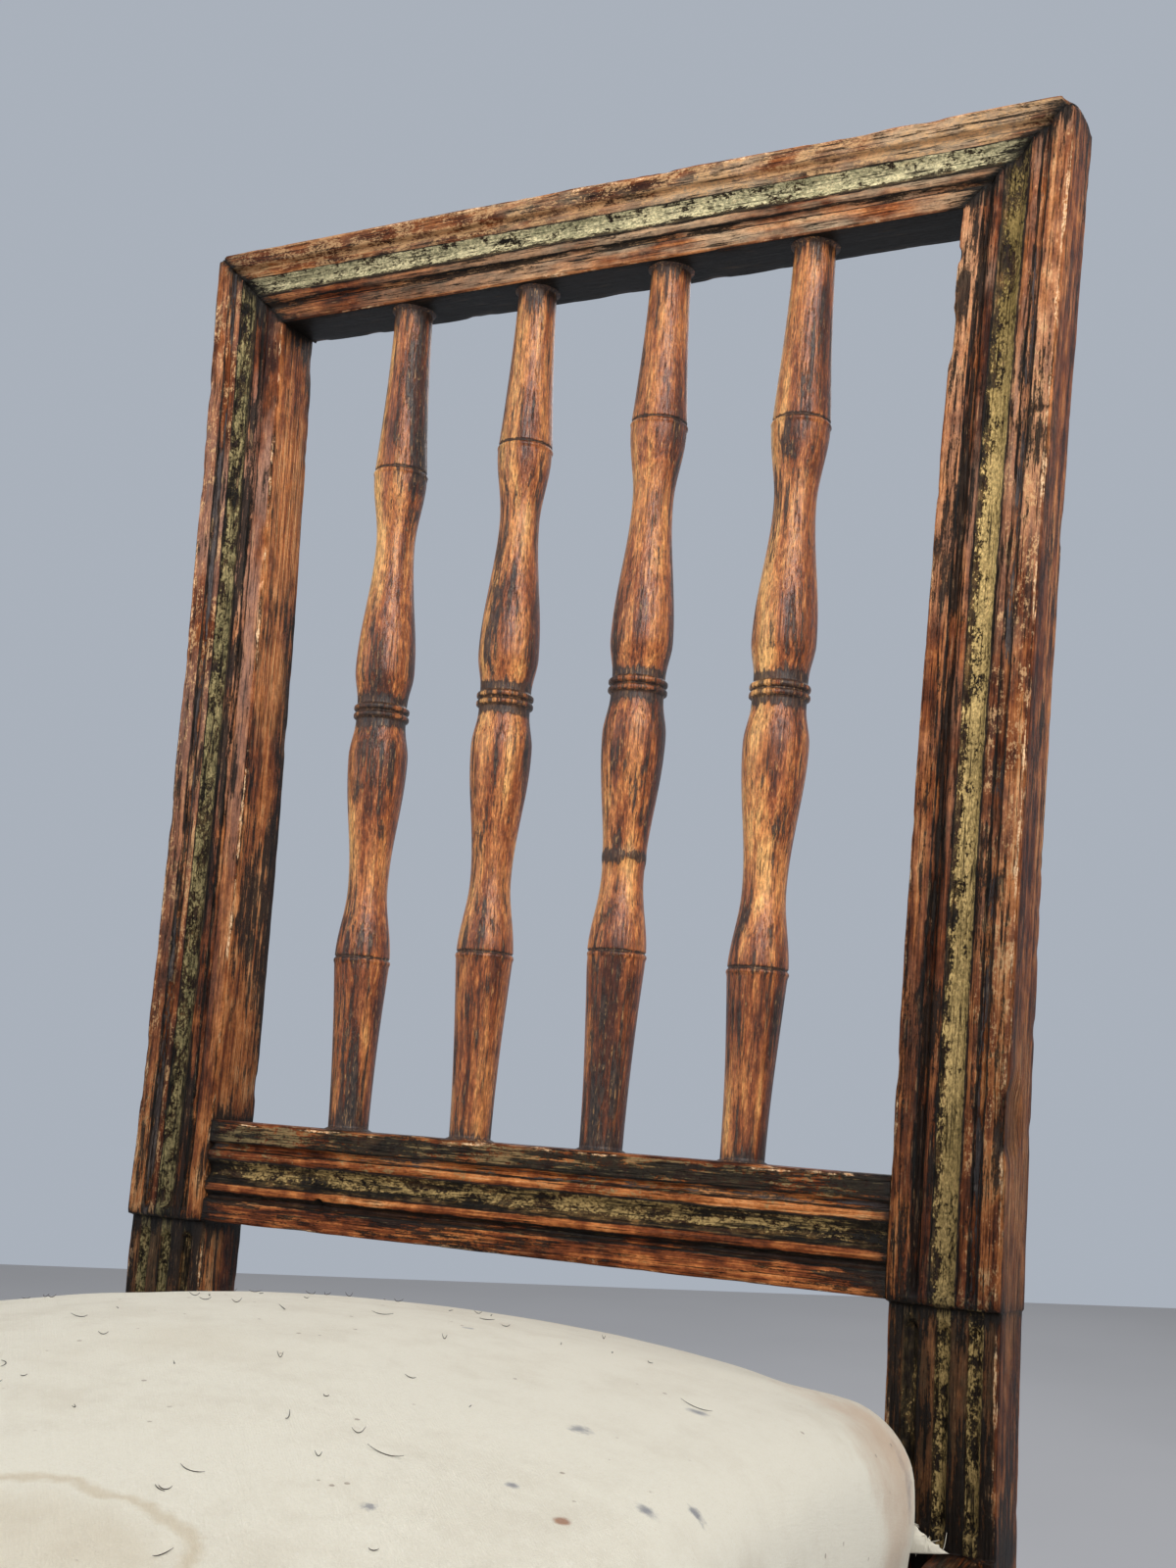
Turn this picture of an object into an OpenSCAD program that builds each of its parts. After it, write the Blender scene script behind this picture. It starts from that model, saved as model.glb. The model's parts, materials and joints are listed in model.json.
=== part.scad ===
// Painted neoclassical side chair with a moulded, spindled back and a drop-in seat.
// Working frame: +Z up, the chair faces -Y, +X is to the right of someone looking at its front.
// Until the last shift, y = 0 is the front face of the back posts at the seat rails.

/* [Overall] */
// Width across the back posts at the seat
back_w = 398; // [340:1:480]
// Width across the front legs
front_w = 470; // [400:1:560]
// Depth from the front of the front legs to the front of the back posts
seat_d = 430; // [350:1:520]
// Height of the seat rails' top above the floor
seat_h = 390; // [320:1:470]

/* [Back frame] */
// Length of the moulded frame, measured up its slope
back_len = 458.5; // [380:0.5:560]
// Slope of the back from upright, in degrees
rake = 5.15; // [2:0.05:8]
// How far each post leans out at its top
flare = 12.4; // [4:0.1:20]
// Width of a post's face
post_w = 42.4; // [36:0.1:52]
// Depth of a post at the foot of the moulded frame
post_d = 31; // [26:0.5:38]
// Depth of a post at its top
post_top_d = 25; // [22:0.5:34]
// Face height of the crest rail
crest_h = 41; // [34:0.5:50]
// Depth of the crest rail
crest_d = 27.5; // [22:0.5:36]
// Face height of the lower back rail
lower_rail_h = 43.5; // [36:0.5:52]
// Depth of the lower back rail
lower_rail_d = 27; // [22:0.5:32]
// Radius of the rounded outer corners of the frame
corner_r = 6; // [2:0.5:12]

/* [Face moulding] */
// Width of the hollow that runs down the middle of each face
cove_w = 10; // [7:0.5:13]
// Depth of that hollow
cove_depth = 3; // [1.5:0.1:4]
// Width of the bead on each side of the hollow
bead_w = 4; // [3:0.1:5]
// Width of the groove outside each bead
groove_w = 3.4; // [2:0.1:5]
// Depth of the groove
groove_depth = 2.8; // [1:0.1:4]

/* [Fluted stretch] */
// Height between the seat rails and the moulded frame
flute_h = 83; // [60:1:110]
// How far the fluted face lies behind the moulded face
step_in = 3.4; // [2:0.1:5]
// How far the plain post lies inside the moulded post's sides and back
side_in = 0.5; // [0.3:0.1:1.5]
// How far the fluted face lies behind the post's face at the rails
ledge_in = 1.5; // [0.5:0.1:3]
// Number of flutes on each post
flutes = 3; // [2:1:4]
// Radius of a flute
flute_r = 2.8; // [1.5:0.1:3.5]
// Distance between flutes
flute_pitch = 12; // [8:0.5:14]
// Plain wood above and below the flutes
flute_end = 9; // [6:1:15]

/* [Spindles] */
// Number of spindles
spindles = 4; // [4:1:4]
// Distance from the moulded face back to the spindles' axis
spindle_back = 13; // [11:0.5:16]
// How much closer together than even spacing the outer spindles stand at the foot
spindle_draw_in = 2.6; // [0:0.1:5]
// Diameter at the ends
spindle_end_d = 17.2; // [14:0.1:20]
// Diameter at the two rings
spindle_ring_d = 24; // [20:0.1:28]
// Diameter at the two waists
spindle_waist_d = 17.4; // [14:0.1:20]
// Diameter at the two swellings beside the middle
spindle_bulge_d = 26; // [22:0.1:30]
// Diameter of the double bead in the middle
spindle_bead_d = 25; // [21:0.1:29]
// Distance from the middle to each ring
spindle_ring_at = 111; // [95:1:125]
// Distance from the middle to each waist
spindle_waist_at = 77; // [60:1:88]
// Distance from the middle to each swelling
spindle_bulge_at = 21; // [14:1:30]
// Diameter of the pegs turned on the ends
spindle_peg_d = 10; // [7:0.5:12]
// Length of those pegs
spindle_peg_l = 12; // [8:1:16]

/* [Seat rails and legs] */
// Height of the seat rails
rail_h = 62; // [45:1:75]
// Thickness of the seat rails
rail_t = 34; // [28:1:40]
// Width of the rim that shows round the drop-in seat
rim_w = 20; // [15:1:24]
// Depth of the rebate that holds the drop-in seat
rebate = 17; // [12:1:22]
// Radius of the rim's rounded top edge
rim_r = 9; // [4:0.5:12]
// How far the rails lie behind the legs' faces
setback = 2; // [1:0.5:4]
// Width of a front leg at the rails
leg_w = 40; // [34:1:50]
// Width of a front foot
front_foot_w = 27; // [22:1:34]
// Width of a back foot
back_foot_w = 29; // [24:1:36]
// Depth of a back foot
back_foot_d = 27; // [22:1:32]
// How far a back foot stands behind the seat
splay = 34; // [15:1:50]
// Thickness of the tenons
tenon_t = 10; // [7:0.5:12]
// Length of the seat rails' tenons
tenon_l = 14; // [10:1:16]
// Diameter of the pegs that pin the tenons
peg_d = 6; // [4:0.5:8]
// Side of a corner block
block_side = 46; // [32:1:60]
// Height of a corner block
block_h = 30; // [20:1:36]

/* [Drop-in seat] */
// Width of the seat frame's members
slip_w = 46; // [38:1:55]
// Thickness of the seat frame's members
slip_t = 16; // [12:1:20]
// Gap between the seat and the rim
seat_gap = 1.5; // [0.5:0.1:3]
// Height of the upholstery's edge above the rim
pad_edge_h = 46; // [30:1:60]
// How much the upholstery rises from its edge to its middle
crown = 36; // [15:1:45]
// Radius of the upholstery's upright corners
pad_corner_r = 26; // [14:1:34]
// Thickness of the calico
cloth_t = 1; // [0.6:0.1:1.5]
// Width of the calico turned under the seat frame
turn_under = 30; // [26:1:38]
// Width of a webbing strap
web_w = 50; // [40:1:60]
// Thickness of a webbing strap
web_t = 1.5; // [1:0.1:2]
// Thickness of the hessian
hessian_t = 1; // [0.5:0.1:1.5]
// Diameter of a tack's head
tack_head_d = 7; // [5:0.5:9]
// Length of a tack's shank
tack_l = 10; // [7:0.5:12]

/* [Hidden] */
$fn = 48;

// Clearance round tenons, pegs and tacks, and between soft pieces.
fit = 0.15;
soft_gap = 0.3;
// Room left past the end of a tenon or shank.
end_gap = 1;
// Extra length of a cutter past what it cuts.
past = 5;

// Colours of the finishes.
dark_wood = [0.36, 0.19, 0.10];
honey_wood = [0.60, 0.31, 0.14];
raw_wood = [0.66, 0.52, 0.34];
steel = [0.30, 0.29, 0.28];
calico = [0.88, 0.84, 0.74];
jute = [0.58, 0.45, 0.28];
hair = [0.16, 0.12, 0.10];

// ---- Places worked out from the sizes ----
rail_bottom = seat_h - rail_h;
ledge_z = seat_h - rebate;
// The fluted stretch bends back on an arc until it has the slope of the back.
bend_r = flute_h / sin(rake);
bend_y = ledge_in + bend_r * (1 - cos(rake));
step_z = seat_h + flute_h;
// The moulded frame stands in a tilted frame whose origin is the foot of its front face.
tilt_y = bend_y - step_in * cos(rake);
tilt_z = step_z + step_in * sin(rake);
// The posts lean out on an arc of this radius.
lean_r = (back_len * back_len + flare * flare) / (2 * flare);
lean_angle = asin(back_len / lean_r) + 0.05;
half_w = back_w / 2;
crest_z = back_len - crest_h;
back_y = max(splay + back_foot_d, tilt_y + back_len * sin(rake) + crest_d * cos(rake));
shift_y = (seat_d - back_y) / 2;
// Depth of the plain post at the foot of the moulded frame.
low_d = post_d - step_in - side_in;
// Inner and outer sides of the plain post.
low_in_x = half_w - post_w + side_in;
low_out_x = half_w - side_in;

// Outer and inner edge of a post in the tilted frame, at a distance z up the slope.
function out_x(z) = half_w + lean_r - sqrt(lean_r * lean_r - z * z);
function in_x(z) = half_w + lean_r - sqrt(pow(lean_r + post_w, 2) - z * z);

// Outer line of the seat at a distance y in front of the posts (y is negative), set in by inset.
function side_x(y, inset) = half_w - (front_w - back_w) / 2 * y / seat_d - inset;
// The four corners of the seat's outline, set in on all sides, from the back right round to the left.
function seat_plan(side, front, back) = [
    [side_x(-back, side), -back], [side_x(-seat_d + front, side), -seat_d + front],
    [-side_x(-seat_d + front, side), -seat_d + front], [-side_x(-back, side), -back]
];

// Points of a circular hollow from s0 to s1, as deep as depth below the face.
function hollow(s0, s1, depth, steps = 8) = [
    for (i = [0:steps]) let (u = 2 * i / steps - 1)
        [(s0 + s1) / 2 + u * (s1 - s0) / 2, depth * (1 - u * u)]
];
// Points of a round bead from s0 to s1 that rises from low at both sides to the face.
function bead(s0, s1, low, steps = 6) = [
    for (i = [0:steps]) let (u = 2 * i / steps - 1) [(s0 + s1) / 2 + u * (s1 - s0) / 2, low * u * u]
];

// Section of a moulded member: flat, groove, bead, hollow, bead, groove, flat.
function moulded_section(width, depth, arris = 1) =
    let (work_w = cove_w + 2 * bead_w + 2 * groove_w, flat = (width - work_w) / 2)
    concat(
        [[0, arris], [arris, 0], [flat, 0], [flat + groove_w / 3, groove_depth]],
        bead(flat + groove_w, flat + groove_w + bead_w, 1),
        hollow(flat + groove_w + bead_w + 0.4, flat + groove_w + bead_w + cove_w - 0.4, cove_depth),
        bead(width - flat - groove_w - bead_w, width - flat - groove_w, 1),
        [[width - flat - groove_w / 3, groove_depth], [width - flat, 0]],
        [[width - arris, 0], [width, arris], [width, depth], [0, depth]]
    );

// ---- General helpers ----
// A flat shape given in x and z, carried through y from y0 to y1.
module through_y(y0, y1) {
    translate([0, y1, 0]) rotate([90, 0, 0]) linear_extrude(y1 - y0) children();
}
// A flat shape given in y and z, carried through x from x0 to x1.
module through_x(x0, x1) {
    translate([x0, 0, 0]) rotate([90, 0, 90]) linear_extrude(x1 - x0) children();
}
// A block between two corners.
module block(low, high) {
    translate(low) cube(high - low);
}
// Puts what is drawn in the tilted frame of the back where it belongs.
module on_slope() {
    translate([0, tilt_y, tilt_z]) rotate([-rake, 0, 0]) children();
}
// Repeats a right-hand piece on the left.
module left_hand() {
    mirror([1, 0, 0]) children();
}

// ---- Back posts ----
// Side outline of the post from the floor to the foot of the moulded frame.
module post_side_outline() {
    foot_steps = 12;
    bend_steps = 8;
    foot_z = [for (i = [0:foot_steps]) rail_bottom * i / foot_steps];
    function foot_y(z) = splay * pow(1 - z / rail_bottom, 2);
    function depth_at(z) = back_foot_d + (low_d + ledge_in - back_foot_d) * z / rail_bottom;
    centre = ledge_in + bend_r;
    polygon(concat(
        [for (z = foot_z) [foot_y(z), z]],
        [[0, seat_h], [ledge_in, seat_h]],
        [for (i = [1:bend_steps]) let (a = rake * i / bend_steps)
            [centre - bend_r * cos(a), seat_h + bend_r * sin(a)]],
        [for (i = [bend_steps:-1:0]) let (a = rake * i / bend_steps)
            [centre - (bend_r - low_d) * cos(a), seat_h + (bend_r - low_d) * sin(a)]],
        [for (i = [foot_steps:-1:0]) [foot_y(foot_z[i]) + depth_at(foot_z[i]), foot_z[i]]]
    ));
}
// Front outline of the same stretch: straight outside, tapered inside below the rails.
module post_front_outline() {
    polygon([
        [low_out_x, 0], [low_out_x, step_z + past], [low_in_x, step_z + past],
        [low_in_x, rail_bottom], [low_out_x - back_foot_w, 0]
    ]);
}
module flute_cutters() {
    low_z = seat_h + flute_end;
    high_z = step_z - flute_end;
    // The flutes follow the straight line between the ends of the arc that they cut.
    function face_y(z) = ledge_in + bend_r - sqrt(bend_r * bend_r - pow(z - seat_h, 2));
    run = [face_y(high_z) - face_y(low_z), high_z - low_z];
    for (i = [0:flutes - 1]) {
        x = half_w - post_w / 2 + (i - (flutes - 1) / 2) * flute_pitch;
        translate([x, face_y(low_z), low_z]) rotate([-atan(run[0] / run[1]), 0, 0]) {
            cylinder(r = flute_r, h = norm(run));
            sphere(r = flute_r);
            translate([0, 0, norm(run)]) sphere(r = flute_r);
        }
    }
}
// Everything of a post above the mitre with the crest rail.
module above_mitre() {
    inner = [in_x(crest_z), crest_z];
    outer = [out_x(back_len), back_len];
    run = outer - inner;
    through_y(-past, post_d + past)
        polygon([inner - run, outer + run, [inner[0] - run[0], outer[1] + run[1]]]);
}
// The waste outside the frame's rounded top corner.
module corner_waste() {
    through_y(-past, post_d + past) translate([out_x(back_len) - corner_r, back_len - corner_r])
        difference() {
            square(corner_r + past);
            circle(r = corner_r);
        }
}
module moulded_post() {
    difference() {
        translate([half_w + lean_r, 0, 0]) rotate(a = 180, v = [0, 1, 1])
            rotate_extrude(angle = lean_angle, $fn = 720)
                translate([lean_r, 0]) polygon(moulded_section(post_w, post_d));
        above_mitre();
        corner_waste();
        through_x(half_w - post_w - past, half_w + post_w)
            polygon([
                [post_d, 0], [post_d + past, 0],
                [post_d + past, back_len + past], [post_top_d, back_len + past]
            ]);
        crest_tenon(fit);
        lower_rail_tenon(fit);
    }
}
module rear_post() {
    difference() {
        union() {
            intersection() {
                through_x(half_w - post_w - past, half_w + past) post_side_outline();
                through_y(-past, splay + back_foot_d + past) post_front_outline();
            }
            on_slope() moulded_post();
        }
        flute_cutters();
        back_rail_tenon(fit);
        side_rail_tenon_back(fit);
        back_joint_pegs(fit);
    }
}
module rear_post_left() {
    color(dark_wood) finish_place() left_hand() rear_post();
}
module rear_post_right() {
    color(dark_wood) finish_place() rear_post();
}

// ---- Crest rail and lower back rail ----
// Tenons in the tilted frame, right-hand end; gap is the clearance of their mortises.
module crest_tenon(gap = 0) {
    low = [in_x(crest_z) - end_gap, crest_d / 2 - tenon_t / 2 - gap, crest_z + crest_h / 4 - gap];
    high = [in_x(crest_z) + post_w * 0.6 + gap, crest_d / 2 + tenon_t / 2 + gap, back_len - crest_h / 3 + gap];
    block(low, high);
}
module lower_rail_tenon(gap = 0) {
    low = [in_x(0) - end_gap, lower_rail_d / 2 - tenon_t / 2 - gap, lower_rail_h / 5 - gap];
    high = [in_x(0) + post_w / 2 + gap, lower_rail_d / 2 + tenon_t / 2 + gap, lower_rail_h * 0.8 + gap];
    block(low, high);
}
// A moulded bar across the back with its top edge at z, length 2 * half.
module moulded_bar(height, depth, z, half) {
    translate([-half, 0, z]) rotate([0, 90, 0])
        linear_extrude(2 * half) polygon(moulded_section(height, depth));
}
module crest_rail() {
    outer = out_x(back_len);
    inner = in_x(crest_z);
    color(dark_wood) finish_place() on_slope() difference() {
        union() {
            intersection() {
                moulded_bar(crest_h, crest_d, back_len, outer);
                through_y(-past, crest_d + past) polygon([
                    [-outer, back_len], [outer, back_len], [inner, crest_z], [-inner, crest_z]
                ]);
            }
            crest_tenon();
            left_hand() crest_tenon();
        }
        corner_waste();
        left_hand() corner_waste();
        spindle_bores();
    }
}
module lower_back_rail() {
    color(dark_wood) finish_place() on_slope() difference() {
        union() {
            moulded_bar(lower_rail_h, lower_rail_d, lower_rail_h, in_x(0));
            lower_rail_tenon();
            left_hand() lower_rail_tenon();
        }
        spindle_bores();
    }
}

// ---- Spindles ----
// The spindles share out the width between the posts, at the foot and at the top.
function spindle_x(i, half) = (i - (spindles - 1) / 2) * 2 * half / (spindles + 1);
function spindle_foot_x(i) = spindle_x(i, in_x(lower_rail_h) - spindle_draw_in);
function spindle_head_x(i) = spindle_x(i, in_x(crest_z));
spindle_rise = crest_z - lower_rail_h;
function spindle_lean(i) = atan((spindle_head_x(i) - spindle_foot_x(i)) / spindle_rise);
// Radii between two stations, eased by half a cosine wave, without the last point.
function eased(z0, d0, z1, d1, steps = 7) = [
    for (i = [0:steps - 1]) let (u = i / steps)
        [(d0 + (d1 - d0) * (1 - cos(180 * u)) / 2) / 2, z0 + (z1 - z0) * u]
];
// Flared stretch from an end to a ring: slow at the end, fast at the ring.
function flared(z0, d0, z1, d1, steps = 6) = [
    for (i = [0:steps - 1]) let (u = i / steps) [(d0 + (d1 - d0) * pow(u, 1.6)) / 2, z0 + (z1 - z0) * u]
];
function spindle_half(length, bead_half = 5) =
    concat(
        [[0, -spindle_peg_l], [spindle_peg_d / 2, -spindle_peg_l], [spindle_peg_d / 2, 0]],
        flared(0, spindle_end_d, length / 2 - spindle_ring_at, spindle_ring_d),
        eased(length / 2 - spindle_ring_at, spindle_ring_d, length / 2 - spindle_waist_at, spindle_waist_d),
        eased(length / 2 - spindle_waist_at, spindle_waist_d, length / 2 - spindle_bulge_at, spindle_bulge_d),
        eased(length / 2 - spindle_bulge_at, spindle_bulge_d, length / 2 - bead_half, spindle_bead_d - 2.5, 4),
        [
            [spindle_bead_d / 2 - 1.2, length / 2 - bead_half], [spindle_bead_d / 2, length / 2 - bead_half * 0.7],
            [spindle_bead_d / 2, length / 2 - bead_half * 0.3], [spindle_bead_d / 2 - 1, length / 2]
        ]
    );
// Stands a thing on the spindle's own axis in the tilted frame; length is the visible length.
module on_spindle(i) {
    translate([spindle_foot_x(i), spindle_back, lower_rail_h])
        rotate([0, spindle_lean(i), 0]) children();
}
module spindle(i) {
    seat = 0.2;
    length = spindle_rise / cos(spindle_lean(i)) - 2 * seat;
    half = spindle_half(length);
    count = len(half);
    upper = [for (k = [count - 2:-1:0]) [half[k][0], length - half[k][1]]];
    color(honey_wood) finish_place() on_slope() on_spindle(i) translate([0, 0, seat])
        rotate_extrude() polygon(concat(half, upper));
}
module spindle_bores() {
    for (i = [0:spindles - 1]) on_spindle(i) translate([0, 0, -spindle_peg_l - end_gap])
        cylinder(d = spindle_peg_d + 2 * fit, h = spindle_rise + 2 * spindle_peg_l + 2 * end_gap);
}

// ---- Seat rails, legs and their joints ----
// The pocket that the drop-in seat lies in.
module seat_pocket() {
    translate([0, 0, ledge_z]) linear_extrude(rebate + past)
        polygon(seat_plan(setback + rim_w, setback + rim_w, seat_gap * 2));
}
// Waste outside a rounded top edge. The edge runs along x from the origin, with the wood at +y.
module edge_waste(length) {
    rotate([90, 0, 90]) linear_extrude(length) difference() {
        translate([-past, -rim_r]) square(rim_r + past);
        translate([rim_r, -rim_r]) circle(r = rim_r);
    }
}
tenon_low = rail_bottom + rail_h / 6;
tenon_high = ledge_z - rail_h / 12;
// x of the middle of the side rails at their two joints, and y of the front and back rails' middles.
side_mid_back = side_x(0, setback + rail_t / 2);
side_mid_front = side_x(-seat_d + leg_w, setback + rail_t / 2);
front_mid_y = -seat_d + setback + rail_t / 2;
back_mid_y = low_d / 2;
leg_in_x = front_w / 2 - leg_w;
back_peg_l = low_d * 0.75;

module back_rail_tenon(gap = 0) {
    block(
        [low_in_x - end_gap, back_mid_y - tenon_t / 2 - gap, tenon_low - gap],
        [low_in_x + tenon_l + gap, back_mid_y + tenon_t / 2 + gap, tenon_high + gap]
    );
}
module side_rail_tenon_back(gap = 0) {
    block(
        [side_mid_back - tenon_t / 2 - gap, -end_gap, tenon_low - gap],
        [side_mid_back + tenon_t / 2 + gap, tenon_l + gap, tenon_high + gap]
    );
}
module side_rail_tenon_front(gap = 0) {
    block(
        [side_mid_front - tenon_t / 2 - gap, -seat_d + leg_w - tenon_l - gap, tenon_low - gap],
        [side_mid_front + tenon_t / 2 + gap, -seat_d + leg_w + end_gap, tenon_high + gap]
    );
}
module front_rail_tenon(gap = 0) {
    block(
        [leg_in_x - end_gap, front_mid_y - tenon_t / 2 - gap, tenon_low - gap],
        [leg_in_x + tenon_l + gap, front_mid_y + tenon_t / 2 + gap, tenon_high + gap]
    );
}
// Two pegs across a tenon, along x from the origin. The pegs of the two joints in one leg pass
// each other because one pair stands nearer the rail's edges than the other.
module peg_pair(length, from_edge, gap) {
    for (z = [tenon_low + from_edge, tenon_high - from_edge])
        translate([0, 0, z]) rotate([0, 90, 0]) cylinder(d = peg_d + 2 * gap, h = length);
}
outer_pair = peg_d * 1.2;
inner_pair = peg_d * 2.4;
module back_joint_pegs(gap = 0) {
    length = setback + rail_t / 2 + tenon_t;
    // Across the side rail's tenon, from the outside of the post.
    translate([low_out_x - length, tenon_l / 2, 0]) peg_pair(length, outer_pair, gap);
    // Across the back rail's tenon, from the back of the post.
    translate([low_in_x + tenon_l / 2, low_d + ledge_in - back_peg_l, 0])
        rotate([0, 0, 90]) peg_pair(back_peg_l, inner_pair, gap);
}
module front_joint_pegs(gap = 0) {
    length = leg_w * 0.8;
    // Across the side rail's tenon, from the outside of the leg.
    translate([front_w / 2 - length, -seat_d + leg_w - tenon_l / 2, 0]) peg_pair(length, outer_pair, gap);
    // Across the front rail's tenon, from the front of the leg.
    translate([leg_in_x + tenon_l / 2, -seat_d + length, 0]) rotate([0, 0, -90])
        peg_pair(length, inner_pair, gap);
}
module seat_rail_pegs() {
    color(raw_wood) finish_place() {
        front_joint_pegs();
        back_joint_pegs();
        left_hand() front_joint_pegs();
        left_hand() back_joint_pegs();
    }
}

module front_leg() {
    outer = front_w / 2;
    difference() {
        intersection() {
            through_y(-seat_d, -seat_d + leg_w) polygon([
                [outer, 0], [outer, seat_h], [outer - leg_w, seat_h],
                [outer - leg_w, rail_bottom], [outer - front_foot_w, 0]
            ]);
            through_x(outer - leg_w, outer) polygon([
                [-seat_d, 0], [-seat_d + front_foot_w, 0], [-seat_d + leg_w, rail_bottom],
                [-seat_d + leg_w, seat_h], [-seat_d, seat_h]
            ]);
        }
        seat_pocket();
        side_rail_tenon_front(fit);
        front_rail_tenon(fit);
        front_joint_pegs(fit);
    }
}
module front_leg_left() {
    color(dark_wood) finish_place() left_hand() front_leg();
}
module front_leg_right() {
    color(dark_wood) finish_place() front_leg();
}
module front_seat_rail() {
    front = -seat_d + setback;
    color(dark_wood) finish_place() difference() {
        union() {
            block([-leg_in_x, front, rail_bottom], [leg_in_x, front + rail_t, seat_h]);
            front_rail_tenon();
            left_hand() front_rail_tenon();
        }
        seat_pocket();
        translate([-leg_in_x - past, front, seat_h]) edge_waste(2 * (leg_in_x + past));
        front_joint_pegs(fit);
        left_hand() front_joint_pegs(fit);
        block_nails_at_corners(fit);
    }
}
module back_seat_rail() {
    color(dark_wood) finish_place() difference() {
        union() {
            block([-low_in_x, back_face_y, rail_bottom], [low_in_x, low_d, seat_h]);
            back_rail_tenon();
            left_hand() back_rail_tenon();
        }
        seat_pocket();
        back_joint_pegs(fit);
        left_hand() back_joint_pegs(fit);
        block_nails_at_corners(fit);
    }
}
module side_seat_rail() {
    front = -seat_d + leg_w;
    turn = atan((front_w - back_w) / 2 / seat_d);
    difference() {
        union() {
            translate([0, 0, rail_bottom]) linear_extrude(rail_h) polygon([
                [side_x(0, setback), 0], [side_x(front, setback), front],
                [side_x(front, setback + rail_t), front], [side_x(0, setback + rail_t), 0]
            ]);
            side_rail_tenon_back();
            side_rail_tenon_front();
        }
        seat_pocket();
        translate([side_x(front - past, setback), front - past, seat_h])
            rotate([0, 0, 90 + turn]) edge_waste(seat_d);
        front_joint_pegs(fit);
        back_joint_pegs(fit);
        block_nails_at_corners(fit);
    }
}
module left_seat_rail() {
    color(dark_wood) finish_place() left_hand() side_seat_rail();
}
module right_seat_rail() {
    color(dark_wood) finish_place() side_seat_rail();
}

// ---- Corner blocks ----
block_top = ledge_z - 4;
// Inner faces of the rails that the blocks are glued to.
front_face_y = -seat_d + setback + rail_t;
back_face_y = -2 * seat_gap - (rail_t - rim_w);
// Plan of a block: along both rails from just past the leg, with its inner corner cut off.
function front_block_plan() =
    let (y0 = front_face_y, y1 = y0 + block_side, clear_y = -seat_d + leg_w + end_gap)
    let (x0 = side_x(y1, setback + rail_t), clear_x = leg_in_x - end_gap)
    [[clear_x, y0], [clear_x, clear_y], [side_x(clear_y, setback + rail_t), clear_y], [x0, y1], [x0 - 10, y1],
     [clear_x - block_side, y0 + 10], [clear_x - block_side, y0]];
function back_block_plan() =
    let (y0 = back_face_y, y1 = y0 - block_side)
    let (x0 = side_x(y1, setback + rail_t), x_in = low_in_x)
    [[side_x(y0, setback + rail_t), y0], [x0, y1], [x0 - 10, y1],
     [x_in - block_side, y0 - 10], [x_in - block_side, y0]];
nail_r = 1.4;
nail_l = 34;
module block_nail() {
    cylinder(r = nail_r, h = nail_l);
    translate([0, 0, -1.2]) cylinder(r = nail_r * 2.2, h = 1.2);
}
module block_nail_bore(gap) {
    translate([0, 0, -1.2]) cylinder(r = nail_r + gap, h = nail_l + 1.2 + gap);
}
// Stands a nail at each of its two places in a right-hand front or back block.
module at_front_nails() {
    z = block_top - block_h / 2;
    translate([leg_in_x - block_side * 0.62, front_face_y + 14, z]) rotate([90, 0, 0]) children();
    translate([side_x(front_face_y + block_side * 0.7, setback + rail_t) - 14, front_face_y + block_side * 0.7, z])
        rotate([0, 90, 0]) children();
}
module at_back_nails() {
    z = block_top - block_h / 2;
    translate([low_in_x - block_side * 0.62, back_face_y - 14, z]) rotate([-90, 0, 0]) children();
    translate([side_x(back_face_y - block_side * 0.7, setback + rail_t) - 14, back_face_y - block_side * 0.7, z])
        rotate([0, 90, 0]) children();
}
module at_corner_nails() {
    at_front_nails() children();
    at_back_nails() children();
    left_hand() at_front_nails() children();
    left_hand() at_back_nails() children();
}
module block_nails_at_corners(gap) {
    at_corner_nails() block_nail_bore(gap);
}
module corner_block_nails() {
    color(steel) finish_place() at_corner_nails() block_nail();
}
module corner_block(plan) {
    difference() {
        translate([0, 0, block_top - block_h]) linear_extrude(block_h) polygon(plan);
        at_front_nails() nail_room();
        at_back_nails() nail_room();
    }
}
// Bore and sunk seat of a nail's head in a block.
module nail_room() {
    block_nail_bore(fit);
    translate([0, 0, -20]) cylinder(r = nail_r * 2.2 + fit, h = 20);
}
module corner_block_front_left() {
    color(raw_wood) finish_place() left_hand() corner_block(front_block_plan());
}
module corner_block_front_right() {
    color(raw_wood) finish_place() corner_block(front_block_plan());
}
module corner_block_back_left() {
    color(raw_wood) finish_place() left_hand() corner_block(back_block_plan());
}
module corner_block_back_right() {
    color(raw_wood) finish_place() corner_block(back_block_plan());
}

// ---- Drop-in seat ----
// The cloth lies against the pocket's walls with the seat gap; the wood lies inside the cloth.
cloth_in = setback + rim_w + seat_gap;
wood_in = cloth_in + cloth_t + soft_gap;
cloth_back = seat_gap * 3;
wood_back = cloth_back + cloth_t + soft_gap;
slip_z = ledge_z + soft_gap + cloth_t + soft_gap;
slip_top = slip_z + slip_t;
slip_front_y = -seat_d + wood_in;
lap = slip_t / 2;
// Outline of the seat frame and of what lies on it, with the upholstery's round corners.
module inside_cloth(inset = 0) {
    linear_extrude(seat_h + pad_edge_h) polygon(rounded(
        seat_plan(wood_in + inset, wood_in + inset, wood_back + inset),
        pad_corner_r - (wood_in - cloth_in) - inset
    ));
}

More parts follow.
